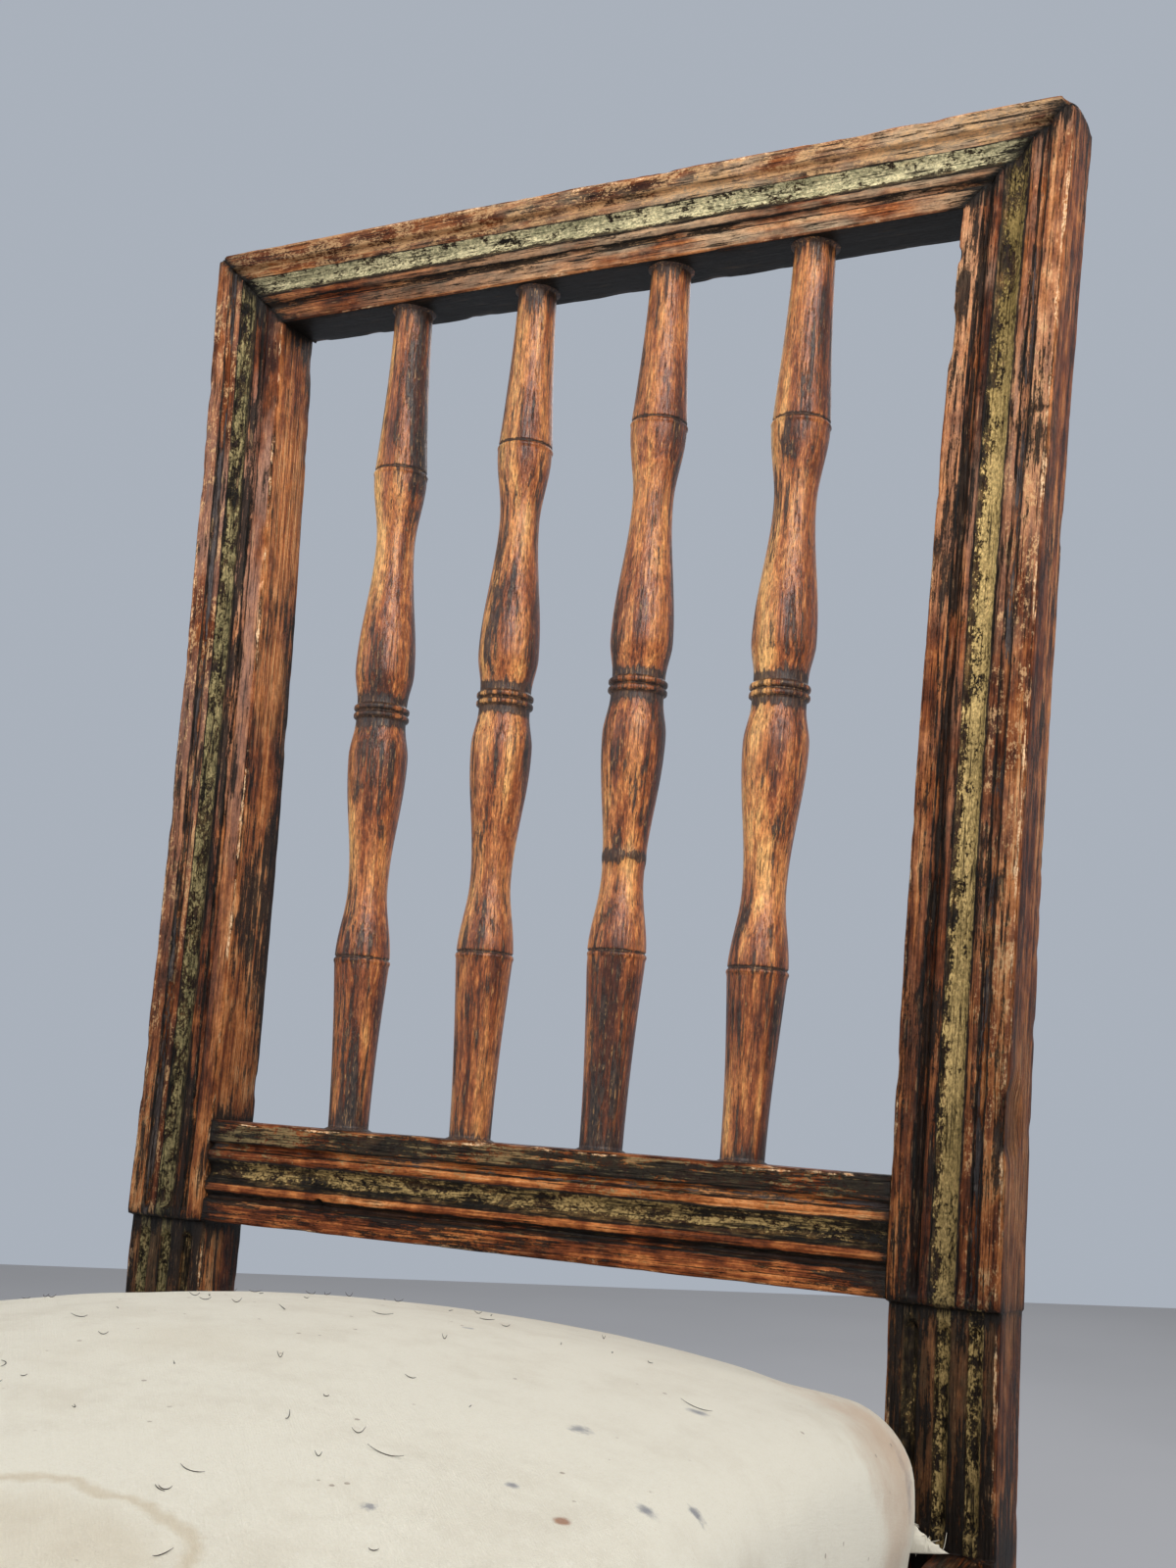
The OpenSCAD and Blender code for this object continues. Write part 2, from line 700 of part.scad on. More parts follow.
module seat_frame_side() {
    difference() {
        translate([0, 0, slip_z]) linear_extrude(slip_t) polygon([
            [side_x(-wood_back, wood_in), -wood_back], [side_x(slip_front_y, wood_in), slip_front_y],
            [side_x(slip_front_y, wood_in + slip_w), slip_front_y],
            [side_x(-wood_back, wood_in + slip_w), -wood_back]
        ]);
        // Halved joints: the side members lie under the front and back ones.
        block([0, slip_front_y - past, slip_z + lap], [front_w, slip_front_y + slip_w, slip_top + past]);
        block([0, -wood_back - slip_w, slip_z + lap], [front_w, past, slip_top + past]);
        tack_bores();
    }
}
module seat_frame_cross(y0, y1) {
    difference() {
        translate([0, 0, slip_z]) linear_extrude(slip_t) polygon([
            [side_x(y0, wood_in), y0], [side_x(y1, wood_in), y1],
            [-side_x(y1, wood_in), y1], [-side_x(y0, wood_in), y0]
        ]);
        for (hand = [0, 1]) mirror([hand, 0, 0]) translate([0, 0, slip_z - past])
            linear_extrude(lap + past) polygon([
                [side_x(y0 - past, wood_in + slip_w), y0 - past], [side_x(y1 + past, wood_in + slip_w), y1 + past],
                [front_w, y1 + past], [front_w, y0 - past]
            ]);
        tack_bores();
    }
}
module rounded_off() {
    intersection() {
        children();
        inside_cloth();
    }
}
module seat_frame_left() {
    color(raw_wood) finish_place() left_hand() rounded_off() seat_frame_side();
}
module seat_frame_right() {
    color(raw_wood) finish_place() rounded_off() seat_frame_side();
}
module seat_frame_front() {
    color(raw_wood) finish_place() rounded_off() seat_frame_cross(slip_front_y, slip_front_y + slip_w);
}
module seat_frame_back() {
    color(raw_wood) finish_place() rounded_off() seat_frame_cross(-wood_back - slip_w, -wood_back);
}

// Webbing: long straps lie on the frame, cross straps lie on them.
long_straps = 4;
cross_straps = 3;
web_in = 8;
long_pitch = (back_w - 2 * (wood_in + web_in) - web_w) / (long_straps - 1) - 4;
cross_pitch = (seat_d - wood_in - wood_back - 2 * slip_w) / cross_straps;
function long_x(i) = (i - (long_straps - 1) / 2) * long_pitch;
function cross_y(i) = slip_front_y + slip_w + cross_pitch * (i + 0.5);
strap_front = slip_front_y + web_in;
strap_back = -wood_back - web_in;
module webbing_lengthwise() {
    color(jute) finish_place() difference() {
        for (i = [0:long_straps - 1]) block(
            [long_x(i) - web_w / 2, strap_front, slip_top],
            [long_x(i) + web_w / 2, strap_back, slip_top + web_t]
        );
        tack_bores();
    }
}
module webbing_crosswise() {
    color(jute) finish_place() difference() {
        for (i = [0:cross_straps - 1]) {
            half = side_x(cross_y(i) + web_w / 2, wood_in + web_in);
            block(
                [-half, cross_y(i) - web_w / 2, slip_top + web_t],
                [half, cross_y(i) + web_w / 2, slip_top + 2 * web_t]
            );
        }
        tack_bores();
    }
}
// Three tacks across each strap's end.
tack_r = 0.9;
tack_head_t = 0.9;
tack_in = 12;
module at_long_tacks() {
    for (i = [0:long_straps - 1], k = [-1:1], y = [strap_front + tack_in, strap_back - tack_in])
        translate([long_x(i) + k * web_w / 3, y, slip_top + web_t]) children();
}
module at_cross_tacks() {
    for (i = [0:cross_straps - 1], k = [-1:1], side = [-1, 1])
        translate([
            side * (side_x(cross_y(i) + web_w / 2, wood_in + web_in) - tack_in),
            cross_y(i) + k * web_w / 3, slip_top + 2 * web_t
        ]) children();
}
// A tack with its head's underside at z = 0 and its shank below.
module tack(gap = 0) {
    translate([0, 0, -tack_l - gap]) cylinder(r = tack_r + gap, h = tack_l + gap);
    if (gap == 0) cylinder(d = tack_head_d, h = tack_head_t);
}
module tack_bores() {
    at_long_tacks() tack(fit);
    at_cross_tacks() tack(fit);
    at_cover_tacks() tack(fit);
}
module webbing_tacks() {
    color(steel) finish_place() {
        at_long_tacks() tack();
        at_cross_tacks() tack();
    }
}

// Hessian over the webbing, clear of the tacks' heads.
hessian_z = slip_top + 2 * web_t + tack_head_t + soft_gap;
module hessian() {
    color(jute) finish_place() intersection() {
        translate([0, 0, hessian_z]) linear_extrude(hessian_t) square(2 * (front_w + seat_d), center = true);
        inside_cloth(web_in / 2);
    }
}

// The upholstery: an upright-sided pad with round corners under a spherical crown.
pad_top = seat_h + pad_edge_h + crown;
pad_mid_y = -seat_d / 2;
reach = norm([front_w / 2 - cloth_in, seat_d / 2 - cloth_in]);
crown_r = (reach * reach + crown * crown) / (2 * crown);
// Rounds the corners of a convex outline with arcs of radius r.
function rounded(points, r, steps = 6) = [
    for (i = [0:len(points) - 1])
        let (a = points[(i + len(points) - 1) % len(points)], b = points[i], c = points[(i + 1) % len(points)])
        let (u = (a - b) / norm(a - b), v = (c - b) / norm(c - b), half = acos(u * v) / 2)
        let (mid = (u + v) / norm(u + v), centre = b + mid * r / sin(half))
        let (start = b + u * r / tan(half) - centre, stop = b + v * r / tan(half) - centre)
        for (k = [0:steps]) let (w = k / steps, p = start * (1 - w) + stop * w) centre + p / norm(p) * r
];
module pad(z, side, back, drop, r) {
    intersection() {
        translate([0, 0, z]) linear_extrude(pad_top - z)
            polygon(rounded(seat_plan(side, side, back), r));
        translate([0, pad_mid_y, pad_top - drop - crown_r]) sphere(r = crown_r, $fn = 200);
    }
}
module horsehair_stuffing() {
    inside = cloth_t + soft_gap;
    color(hair) finish_place()
        pad(hessian_z + hessian_t + soft_gap, cloth_in + inside, cloth_back + inside, inside, pad_corner_r - inside);
}
module calico_cover() {
    floor_z = ledge_z + soft_gap;
    color(calico) finish_place() difference() {
        pad(floor_z, cloth_in, cloth_back, 0, pad_corner_r);
        pad(floor_z + cloth_t, cloth_in + cloth_t, cloth_back + cloth_t, cloth_t, pad_corner_r - cloth_t);
        translate([0, 0, floor_z - past]) linear_extrude(cloth_t + 2 * past)
            polygon(seat_plan(cloth_in + turn_under, cloth_in + turn_under, cloth_back + turn_under));
        tack_bores();
    }
}
// Tacks through the turned-under calico, from below, clear of the rails' ledge.
cover_tacks_x = 5;
cover_tacks_y = 5;
module at_cover_tacks() {
    inset = cloth_in + turn_under - 8;
    y0 = -seat_d + inset;
    y1 = -cloth_back - turn_under + 8;
    under = ledge_z + soft_gap;
    for (i = [0:cover_tacks_x - 1], y = [y0, y1])
        translate([(2 * i / (cover_tacks_x - 1) - 1) * side_x(y, inset + web_w / 2), y, under])
            mirror([0, 0, 1]) children();
    for (i = [1:cover_tacks_y], side = [-1, 1]) {
        y = y0 + (y1 - y0) * i / (cover_tacks_y + 1);
        translate([side * side_x(y, inset), y, under]) mirror([0, 0, 1]) children();
    }
}
module cover_tacks() {
    color(steel) finish_place() at_cover_tacks() tack();
}

// Puts the middle of the chair's footprint over the origin.
module finish_place() {
    translate([0, shift_y, 0]) children();
}

rear_post_left();
rear_post_right();
crest_rail();
lower_back_rail();
spindle(0);  // spindle_outer_left
spindle(1);  // spindle_inner_left
spindle(2);  // spindle_inner_right
spindle(3);  // spindle_outer_right
front_leg_left();
front_leg_right();
front_seat_rail();
back_seat_rail();
left_seat_rail();
right_seat_rail();
seat_rail_pegs();
corner_block_front_left();
corner_block_front_right();
corner_block_back_left();
corner_block_back_right();
corner_block_nails();
seat_frame_front();
seat_frame_back();
seat_frame_left();
seat_frame_right();
webbing_lengthwise();
webbing_crosswise();
webbing_tacks();
hessian();
horsehair_stuffing();
calico_cover();
cover_tacks();
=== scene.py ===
"""The looks of a painted side chair: a moulded, spindled back on a plain frame with a drop-in calico seat.

Working sizes are millimetres, with y = 0 at the front of the back posts at the seat rails; meshes are metres.
"""

import json
import logging
import math
from dataclasses import dataclass
from enum import Enum
from typing import Callable, Sequence

import bpy
import numpy as np
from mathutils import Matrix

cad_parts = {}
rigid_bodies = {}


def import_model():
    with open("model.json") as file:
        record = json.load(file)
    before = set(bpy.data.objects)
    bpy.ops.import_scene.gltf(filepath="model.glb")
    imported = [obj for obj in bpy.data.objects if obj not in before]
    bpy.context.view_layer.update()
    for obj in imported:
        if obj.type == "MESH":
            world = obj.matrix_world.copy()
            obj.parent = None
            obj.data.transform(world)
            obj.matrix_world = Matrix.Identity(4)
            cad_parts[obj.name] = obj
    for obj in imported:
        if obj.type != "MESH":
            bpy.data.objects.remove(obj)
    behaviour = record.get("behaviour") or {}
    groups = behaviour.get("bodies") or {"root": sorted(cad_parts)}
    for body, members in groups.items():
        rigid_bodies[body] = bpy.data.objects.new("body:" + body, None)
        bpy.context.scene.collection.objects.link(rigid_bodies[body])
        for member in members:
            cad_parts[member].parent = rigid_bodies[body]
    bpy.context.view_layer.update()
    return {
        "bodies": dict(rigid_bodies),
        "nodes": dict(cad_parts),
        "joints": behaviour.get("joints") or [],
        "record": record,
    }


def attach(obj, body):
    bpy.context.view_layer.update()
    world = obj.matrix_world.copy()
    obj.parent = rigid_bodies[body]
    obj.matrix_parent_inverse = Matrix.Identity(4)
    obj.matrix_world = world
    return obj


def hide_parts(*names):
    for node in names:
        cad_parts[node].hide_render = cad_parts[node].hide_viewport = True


Array = np.ndarray
Colour = tuple[float, float, float]
Material = bpy.types.Material
MM = 0.001
BODY = "root"
log = logging.getLogger("chair")


class Hand(Enum):
    """Which side of the chair a piece stands on, seen from the front."""

    LEFT = -1
    RIGHT = 1


@dataclass(frozen=True)
class ChairSizes:
    """Sizes that the sub-assemblies share, in millimetres, with the lines that they are set out from."""

    back_w: float = 398.0
    front_w: float = 470.0
    seat_d: float = 430.0
    seat_h: float = 390.0
    back_len: float = 458.5
    rake: float = math.radians(5.15)
    flare: float = 12.4
    post_w: float = 42.4
    post_d: float = 31.0
    post_top_d: float = 25.0
    crest_h: float = 41.0
    crest_d: float = 27.5
    lower_h: float = 43.5
    lower_d: float = 27.0
    worn_corner: float = 8.5
    flute_h: float = 83.0
    step_in: float = 3.4
    side_in: float = 0.5
    ledge_in: float = 1.5
    rail_h: float = 62.0
    rail_t: float = 34.0
    rim_w: float = 20.0
    rebate: float = 17.0
    rim_r: float = 9.0
    setback: float = 2.0
    leg_w: float = 40.0
    front_foot_w: float = 27.0
    back_foot_w: float = 29.0
    back_foot_d: float = 27.0
    splay: float = 34.0
    seat_gap: float = 1.5
    slip_w: float = 46.0
    slip_t: float = 16.0

    @property
    def half_w(self) -> float:
        """Half the width across the back posts."""
        return self.back_w / 2

    @property
    def rail_bottom(self) -> float:
        """Height of the seat rails' underside."""
        return self.seat_h - self.rail_h

    @property
    def ledge_z(self) -> float:
        """Height of the ledge that the drop-in seat lies on."""
        return self.seat_h - self.rebate

    @property
    def low_d(self) -> float:
        """Depth of the plain post."""
        return self.post_d - self.step_in - self.side_in

    @property
    def bend_r(self) -> float:
        """Radius on which the fluted stretch bends back."""
        return self.flute_h / math.sin(self.rake)

    @property
    def lean_r(self) -> float:
        """Radius on which the posts lean out."""
        return (self.back_len**2 + self.flare**2) / (2 * self.flare)

    @property
    def crest_z(self) -> float:
        """Height up the slope of the crest rail's lower edge."""
        return self.back_len - self.crest_h

    @property
    def tilt(self) -> tuple[float, float]:
        """Where the moulded frame's foot stands: y and z of its front face."""
        bend_y = self.ledge_in + self.bend_r * (1 - math.cos(self.rake))
        return (
            bend_y - self.step_in * math.cos(self.rake),
            self.seat_h + self.flute_h + self.step_in * math.sin(self.rake),
        )

    @property
    def shift_y(self) -> float:
        """How far back the working frame stands from the shared one."""
        slope = self.back_len * math.sin(self.rake) + self.crest_d * math.cos(self.rake)
        return (self.seat_d - max(self.splay + self.back_foot_d, self.tilt[0] + slope)) / 2

    def out_x(self, z: Array) -> Array:
        """Outer edge of a post at a height up the slope: an arc of the lean's radius."""
        return self.half_w + self.lean_r - np.sqrt(self.lean_r**2 - np.square(z))

    def in_x(self, z: Array) -> Array:
        """Inner edge of a post at a height up the slope: an arc with the same centre."""
        return self.half_w + self.lean_r - np.sqrt((self.lean_r + self.post_w) ** 2 - np.square(z))

    def side_x(self, y: Array, inset: float) -> Array:
        """Outer line of the seat's side at a place y, set in by inset: it widens evenly to the front."""
        return self.half_w - (self.front_w - self.back_w) / 2 * y / self.seat_d - inset

    @property
    def behind(self) -> Array:
        """The direction straight back from the moulded face."""
        return np.array([0, math.cos(self.rake), -math.sin(self.rake)])

    def on_slope(self, x: Array, depth: Array, up: Array) -> Array:
        """Places points given across, behind the moulded face and up the slope.

        Args:
            x: distances across the chair.
            depth: distances behind the moulded face.
            up: distances up the slope from the moulded frame's foot.

        Returns:
            Points in the working frame: the slope is a turn by the rake about the frame's foot.
        """
        y0, z0 = self.tilt
        y = y0 + up * math.sin(self.rake) + depth * math.cos(self.rake)
        z = z0 + up * math.cos(self.rake) - depth * math.sin(self.rake)
        return joined(x, y, z)


SIZES = ChairSizes()
CORNER_R = {Hand.LEFT: 4.5, Hand.RIGHT: 7.5}
SPINDLE_TONES = (0.0, 0.03, -0.03, 0.01)


@dataclass(frozen=True)
class Grain:
    """Smooth seeded noise in space, the same on every run."""

    seed: int

    def _corner(self, cell: Array) -> Array:
        """A number from -1 to 1 for each whole-numbered corner, mixed from its three counts and the seed."""
        count = cell.astype(np.int64).astype(np.uint64)
        mixed = count[..., 0] * np.uint64(374761393) + count[..., 1] * np.uint64(668265263)
        mixed = mixed + count[..., 2] * np.uint64(2246822519) + np.uint64(self.seed * 3266489917)
        mixed = (mixed ^ (mixed >> np.uint64(15))) * np.uint64(2654435761)
        mixed = (mixed ^ (mixed >> np.uint64(13))) * np.uint64(3266489917)
        mixed = mixed ^ (mixed >> np.uint64(16))
        return (mixed & np.uint64(0xFFFFFF)).astype(np.float64) / 0x7FFFFF - 1

    def at(self, points: Array, cell: Sequence[float]) -> Array:
        """Noise whose values at the corners of a box grid are joined by eased blends.

        Args:
            points: places, with three numbers in the last axis.
            cell: size of a grid box along each axis.

        Returns:
            One number from -1 to 1 for each place.
        """
        place = points / np.asarray(cell, float) + 31.7 * (1 + self.seed % 7)
        low = np.floor(place)
        part = place - low
        part = part * part * (3 - 2 * part)
        total = np.zeros(points.shape[:-1])
        for corner in range(8):
            step = np.array([corner & 1, (corner >> 1) & 1, (corner >> 2) & 1], float)
            weight = np.prod(np.where(step > 0, part, 1 - part), axis=-1)
            total = total + weight * self._corner(low + step)
        return total

    def layered(self, points: Array, cell: Sequence[float], layers: int = 3, gain: float = 0.5) -> Array:
        """Several layers of the noise, each half the size and gain times the height of the last.

        Args:
            points: places, with three numbers in the last axis.
            cell: size of the coarsest grid box along each axis.
            layers: how many layers are added.
            gain: height of each layer as a share of the one before.

        Returns:
            One number, about -1 to 1, for each place.
        """
        total, height, whole = np.zeros(points.shape[:-1]), 1.0, 0.0
        for k in range(layers):
            size = np.asarray(cell, float) / 2**k
            total = total + height * Grain(self.seed + 101 * k).at(points, size)
            whole += height
            height *= gain
        return total / whole


def ease(value: Array, low: float, high: float) -> Array:
    """A smooth step: 0 below low, 1 above high, and the cubic 3t^2 - 2t^3 between; low may be the greater."""
    t = np.clip((np.asarray(value, float) - low) / (high - low), 0, 1)
    return t * t * (3 - 2 * t)


def spaced(start: float, stop: float, pitch: float) -> Array:
    """Even stations from start to stop, about a pitch apart, both ends included."""
    return np.linspace(start, stop, max(2, int(round(abs(stop - start) / pitch)) + 1))


def joined(x: Array, y: Array, z: Array) -> Array:
    """Points, or other triples, from their three numbers, each stretched to the others' shape."""
    return np.stack(np.broadcast_arrays(x, y, z), -1)


def unit(vectors: Array) -> Array:
    """Vectors brought to a length of 1."""
    return vectors / np.maximum(np.linalg.norm(vectors, axis=-1, keepdims=True), 1e-9)


def near(distance: Array, reach: float) -> Array:
    """1 at a distance of 0, falling to 1/e at the reach on both sides, with a sharp top."""
    return np.exp(-np.abs(distance) / reach)


def swell(distance: Array, reach: float) -> Array:
    """1 at a distance of 0, falling to 1/e at the reach on both sides, with a round top."""
    return np.exp(-np.square(distance / reach))


def past(far: Array, r: float) -> Array:
    """The share of its distance by which a point is drawn in to a radius; 0 inside it."""
    return np.where(far > r, 1 - r / np.maximum(far, 1e-6), 0)


def quads(rows: int, columns: int, closed: bool) -> Array:
    """Corner numbers of a grid's four-sided faces.

    Args:
        rows: number of rows of points.
        columns: number of points in a row.
        closed: whether the last column joins the first.

    Returns:
        One row of four point numbers for each face.
    """
    number = np.arange(rows * columns).reshape(rows, columns)
    after = np.roll(number, -1, axis=1) if closed else number[:, 1:]
    here = number if closed else number[:, :-1]
    faces = np.stack([here[:-1], after[:-1], after[1:], here[1:]], -1)
    return faces.reshape(-1, 4)


def normals_of(points: Array, closed: bool = True) -> Array:
    """Unit normals of a grid surface: the cross product of its steps along rows and columns."""
    if closed:
        across = np.roll(points, -1, axis=1) - np.roll(points, 1, axis=1)
    else:
        across = np.gradient(points, axis=1)
    along = np.gradient(points, axis=0)
    return unit(np.cross(across, along))


@dataclass
class Piece:
    """A mesh in the making: its points in the working frame, its faces and what its finish reads."""

    name: str
    points: Array
    faces: list
    flat_from: int = 1 << 30
    uv: Array | None = None

    def build(self, values: dict[str, Array] | None = None) -> bpy.types.Object:
        """Makes the object, in metres and in the shared frame, with its values kept on its points.

        Args:
            values: numbers or triples for each point, by name, for the material to read.

        Returns:
            The new object, linked to the scene.
        """
        place = self.points.reshape(-1, 3) + np.array([0, SIZES.shift_y, 0])
        mesh = bpy.data.meshes.new(self.name)
        mesh.from_pydata((place * MM).tolist(), [], self.faces)
        for key, value in (values or {}).items():
            triple = np.ndim(value) > 0 and value.reshape(-1).size == 3 * len(place)
            kind, field_name = ("FLOAT_VECTOR", "vector") if triple else ("FLOAT", "value")
            data = mesh.attributes.new(key, kind, "POINT").data
            data.foreach_set(field_name, np.asarray(value, np.float32).ravel())
        if self.uv is not None:
            corner = np.zeros(len(mesh.loops), np.int32)
            mesh.loops.foreach_get("vertex_index", corner)
            flat_map = mesh.uv_layers.new(name="cut")
            flat_map.uv.foreach_set("vector", self.uv.reshape(-1, 2)[corner].astype(np.float32).ravel())
        smooth = np.arange(len(mesh.polygons)) < self.flat_from
        mesh.polygons.foreach_set("use_smooth", smooth)
        mesh.update()
        made = bpy.data.objects.new(self.name, mesh)
        bpy.context.scene.collection.objects.link(made)
        return made


def closed_bar(name: str, grid: Array) -> Piece:
    """A bar from a grid of closed sections, with both ends capped and every face outwards.

    Args:
        name: the piece's name.
        grid: points by section, then round each section.

    Returns:
        The piece, whose faces are turned round if the volume they enclose comes out negative.
    """
    rows, columns = grid.shape[:2]
    faces = quads(rows, columns, True)
    a, b, c, d = (grid.reshape(-1, 3)[faces[:, k]] for k in range(4))
    volume = (a * np.cross(b, c)).sum() + (a * np.cross(c, d)).sum()
    first, last = list(range(columns))[::-1], list(range((rows - 1) * columns, rows * columns))
    if volume < 0:
        faces, first, last = faces[:, ::-1], first[::-1], last[::-1]
    return Piece(name, grid, faces.tolist() + [first, last], flat_from=len(faces))


def place_piece(made: bpy.types.Object, material: Material, slot: str, *nodes: str) -> bpy.types.Object:
    """Dresses a new piece, sets it on the chair's body and lets it stand for its solids.

    Args:
        made: the new object.
        material: its finish.
        slot: the finish's name in the record; not used.
        nodes: the solids it stands for.

    Returns:
        The same object.
    """
    made.data.materials.append(material)
    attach(made, BODY)
    if nodes:
        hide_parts(*nodes)
    log.info("%s: %d points, %d faces", made.name, len(made.data.vertices), len(made.data.polygons))
    return made


def thicken(made: bpy.types.Object, thickness: float, offset: float = -1.0) -> None:
    """Gives a cloth its thickness in mm: below its surface, or on both sides of it with an offset of 0."""
    wall = made.modifiers.new("cloth_thickness", "SOLIDIFY")
    wall.thickness, wall.offset = thickness * MM, offset


@dataclass(frozen=True)
class Value:
    """A number or colour that a material works out at each place; a sum of two is a node in its recipe."""

    recipe: "Recipe"
    socket: bpy.types.NodeSocket

    def _sum(self, way: str, a: object, b: object) -> "Value":
        """The node for one sum."""
        return self.recipe.take("ShaderNodeMath", a, b, operation=way)

    def __add__(self, other: object) -> "Value":
        """This and another number added."""
        return self._sum("ADD", self, other)

    def __sub__(self, other: object) -> "Value":
        """This less another number."""
        return self._sum("SUBTRACT", self, other)

    def __rsub__(self, other: object) -> "Value":
        """Another number less this."""
        return self._sum("SUBTRACT", other, self)

    def __mul__(self, other: object) -> "Value":
        """This and another number multiplied."""
        return self._sum("MULTIPLY", self, other)

    def greatest(self, other: object) -> "Value":
        """The greater of this and another number."""
        return self._sum("MAXIMUM", self, other)

    def step(self, low: float, high: float, top: float = 1.0) -> "Value":
        """A smooth step from 0 to top as this goes from low to high; low may be the greater."""
        smooth = {"interpolation_type": "SMOOTHSTEP"}
        return self.recipe.take("ShaderNodeMapRange", self, low, high, 0.0, top, **smooth)

    def band(self, low: float, high: float, soft: float) -> "Value":
        """1 between low and high, easing to 0 over a soft distance on both sides."""
        return self.step(low - soft, low + soft) * self.step(high + soft, high - soft)

    def ramp(self, *stops: tuple[float, Colour]) -> "Value":
        """A colour that runs through stops as this rises.

        Args:
            stops: where each stop stands, from 0 to 1, and its colour.

        Returns:
            The colour.
        """
        node = self.recipe.add("ShaderNodeValToRGB", self)
        marks = node.color_ramp.elements
        while len(marks) < len(stops):
            marks.new(0.5)
        for mark, (where, colour) in zip(marks, stops):
            mark.position = where
            mark.color = (*colour, 1.0)
        return Value(self.recipe, node.outputs[0])


class Recipe:
    """A material's nodes, filled by short calls that each give the value they make."""

    def __init__(self, name: str) -> None:
        """Starts a material with one surface shader."""
        self.material = bpy.data.materials.new(name)
        self.material.use_nodes = True
        self.tree = self.material.node_tree
        self.shader = self.tree.nodes["Principled BSDF"]

    def add(self, kind: str, *values: object, **settings: object) -> bpy.types.Node:
        """Adds a node.

        Args:
            kind: the node's type.
            values: what fills its inputs, in order.
            settings: its properties, by name.

        Returns:
            The node.
        """
        node = self.tree.nodes.new(kind)
        for key, value in settings.items():
            setattr(node, key, value)
        for socket, value in zip(node.inputs, values):
            self.fill(socket, value)
        return node

    def take(self, kind: str, *values: object, out: int | str = 0, **settings: object) -> Value:
        """Adds a node and gives one of its outputs."""
        return Value(self, self.add(kind, *values, **settings).outputs[out])

    def fill(self, socket: bpy.types.NodeSocket, value: object) -> None:
        """Links an input, or sets it.

        Args:
            socket: the input.
            value: a value to link, or a number, a triple or a colour; None leaves the input alone.
        """
        if isinstance(value, Value):
            self.tree.links.new(value.socket, socket)
        elif value is not None:
            size = len(socket.default_value) if hasattr(socket.default_value, "__len__") else 0
            if size and not hasattr(value, "__len__"):
                value = (value,) * size
            socket.default_value = (*value, 1.0) if size == 4 and len(value) == 3 else value

    def tune(self, node: bpy.types.Node, inputs: dict[str, object]) -> Value:
        """Fills a node's inputs by name and gives its first output."""
        for name, value in inputs.items():
            self.fill(node.inputs[name], value)
        return Value(self, node.outputs[0])

    def kept(self, name: str, part: str = "Fac") -> Value:
        """What the points keep under a name: one number, or three as a Vector."""
        return self.take("ShaderNodeAttribute", out=part, attribute_name=name)

    def place(self) -> Value:
        """The place on the piece, in metres."""
        return self.take("ShaderNodeTexCoord", out="Object")

    def parts(self, vector: Value) -> list[Value]:
        """The three numbers of a triple."""
        return [Value(self, out) for out in self.add("ShaderNodeSeparateXYZ", vector).outputs]

    def stretched(self, vector: Value, factors: Sequence[float], shift: float = 0.0) -> Value:
        """A place scaled along each axis, then moved, so that a pattern is drawn out along the others."""
        scaled = self.take("ShaderNodeVectorMath", vector, factors, operation="MULTIPLY")
        return self.take("ShaderNodeVectorMath", scaled, (shift,) * 3, operation="ADD")

    def noise(self, vector: Value, factors: Sequence[float], detail: float, rough: float,
              shift: float = 0.0, twist: float = 0.0) -> Value:
        """Cloudy noise.

        Args:
            vector: the place.
            factors: one over the size of a cloud along each axis, in metres.
            detail: how many finer layers are added.
            rough: height of each layer as a share of the one before.
            shift: how far the pattern is moved, which gives another one.
            twist: how much the clouds are stirred.

        Returns:
            A number from 0 to 1.
        """
        node = self.add("ShaderNodeTexNoise", self.stretched(vector, factors, shift))
        return self.tune(node, {"Scale": 1.0, "Detail": detail, "Roughness": rough, "Distortion": twist})

    def mix(self, share: object, a: object, b: object, way: str = "MIX") -> Value:
        """Two colours mixed by a share; the five inputs that are left alone are for other kinds of value."""
        left_alone = (None,) * 5
        return self.take("ShaderNodeMix", share, *left_alone, a, b, out=2, data_type="RGBA", blend_type=way)

    def relief(self, height: Value, metres: float) -> Value:
        """A bumped normal from a height."""
        return self.tune(self.add("ShaderNodeBump"), {"Strength": 1.0, "Distance": metres, "Height": height})

    def finish(self, colour: Value, rough: object, normal: Value | None, gloss: float = 0.5,
               **more: float) -> Material:
        """Joins everything to the surface shader.

        Args:
            colour: the base colour.
            rough: the roughness.
            normal: the bumped normal, if there is one.
            gloss: the specular level.
            more: other inputs of the shader, with underscores for the spaces in their names.

        Returns:
            The material.
        """
        self.tune(self.shader, {"Base Color": colour, "Roughness": rough, "Normal": normal,
                                "Specular IOR Level": gloss})
        self.tune(self.shader, {name.replace("_", " "): value for name, value in more.items()})
        return self.material


@dataclass(frozen=True)
class Mark:
    """A hurt or bare place on a member, in mm from its face's middle, along it and behind its face."""

    across: float
    along: float
    depth: float
    size: tuple[float, float, float]
    sunk: float = 0.0
    bare: float = 0.0
    dark: float = 0.0

    def share(self, place: Array, rag: Array) -> Array:
        """How strongly the mark is felt: 1 in its middle and 0 outside its ragged oval."""
        away = (place - np.array([self.across, self.along, self.depth])) / np.array(self.size)
        return ease(np.linalg.norm(away, axis=-1) + 0.35 * rag, 1.1, 0.6)


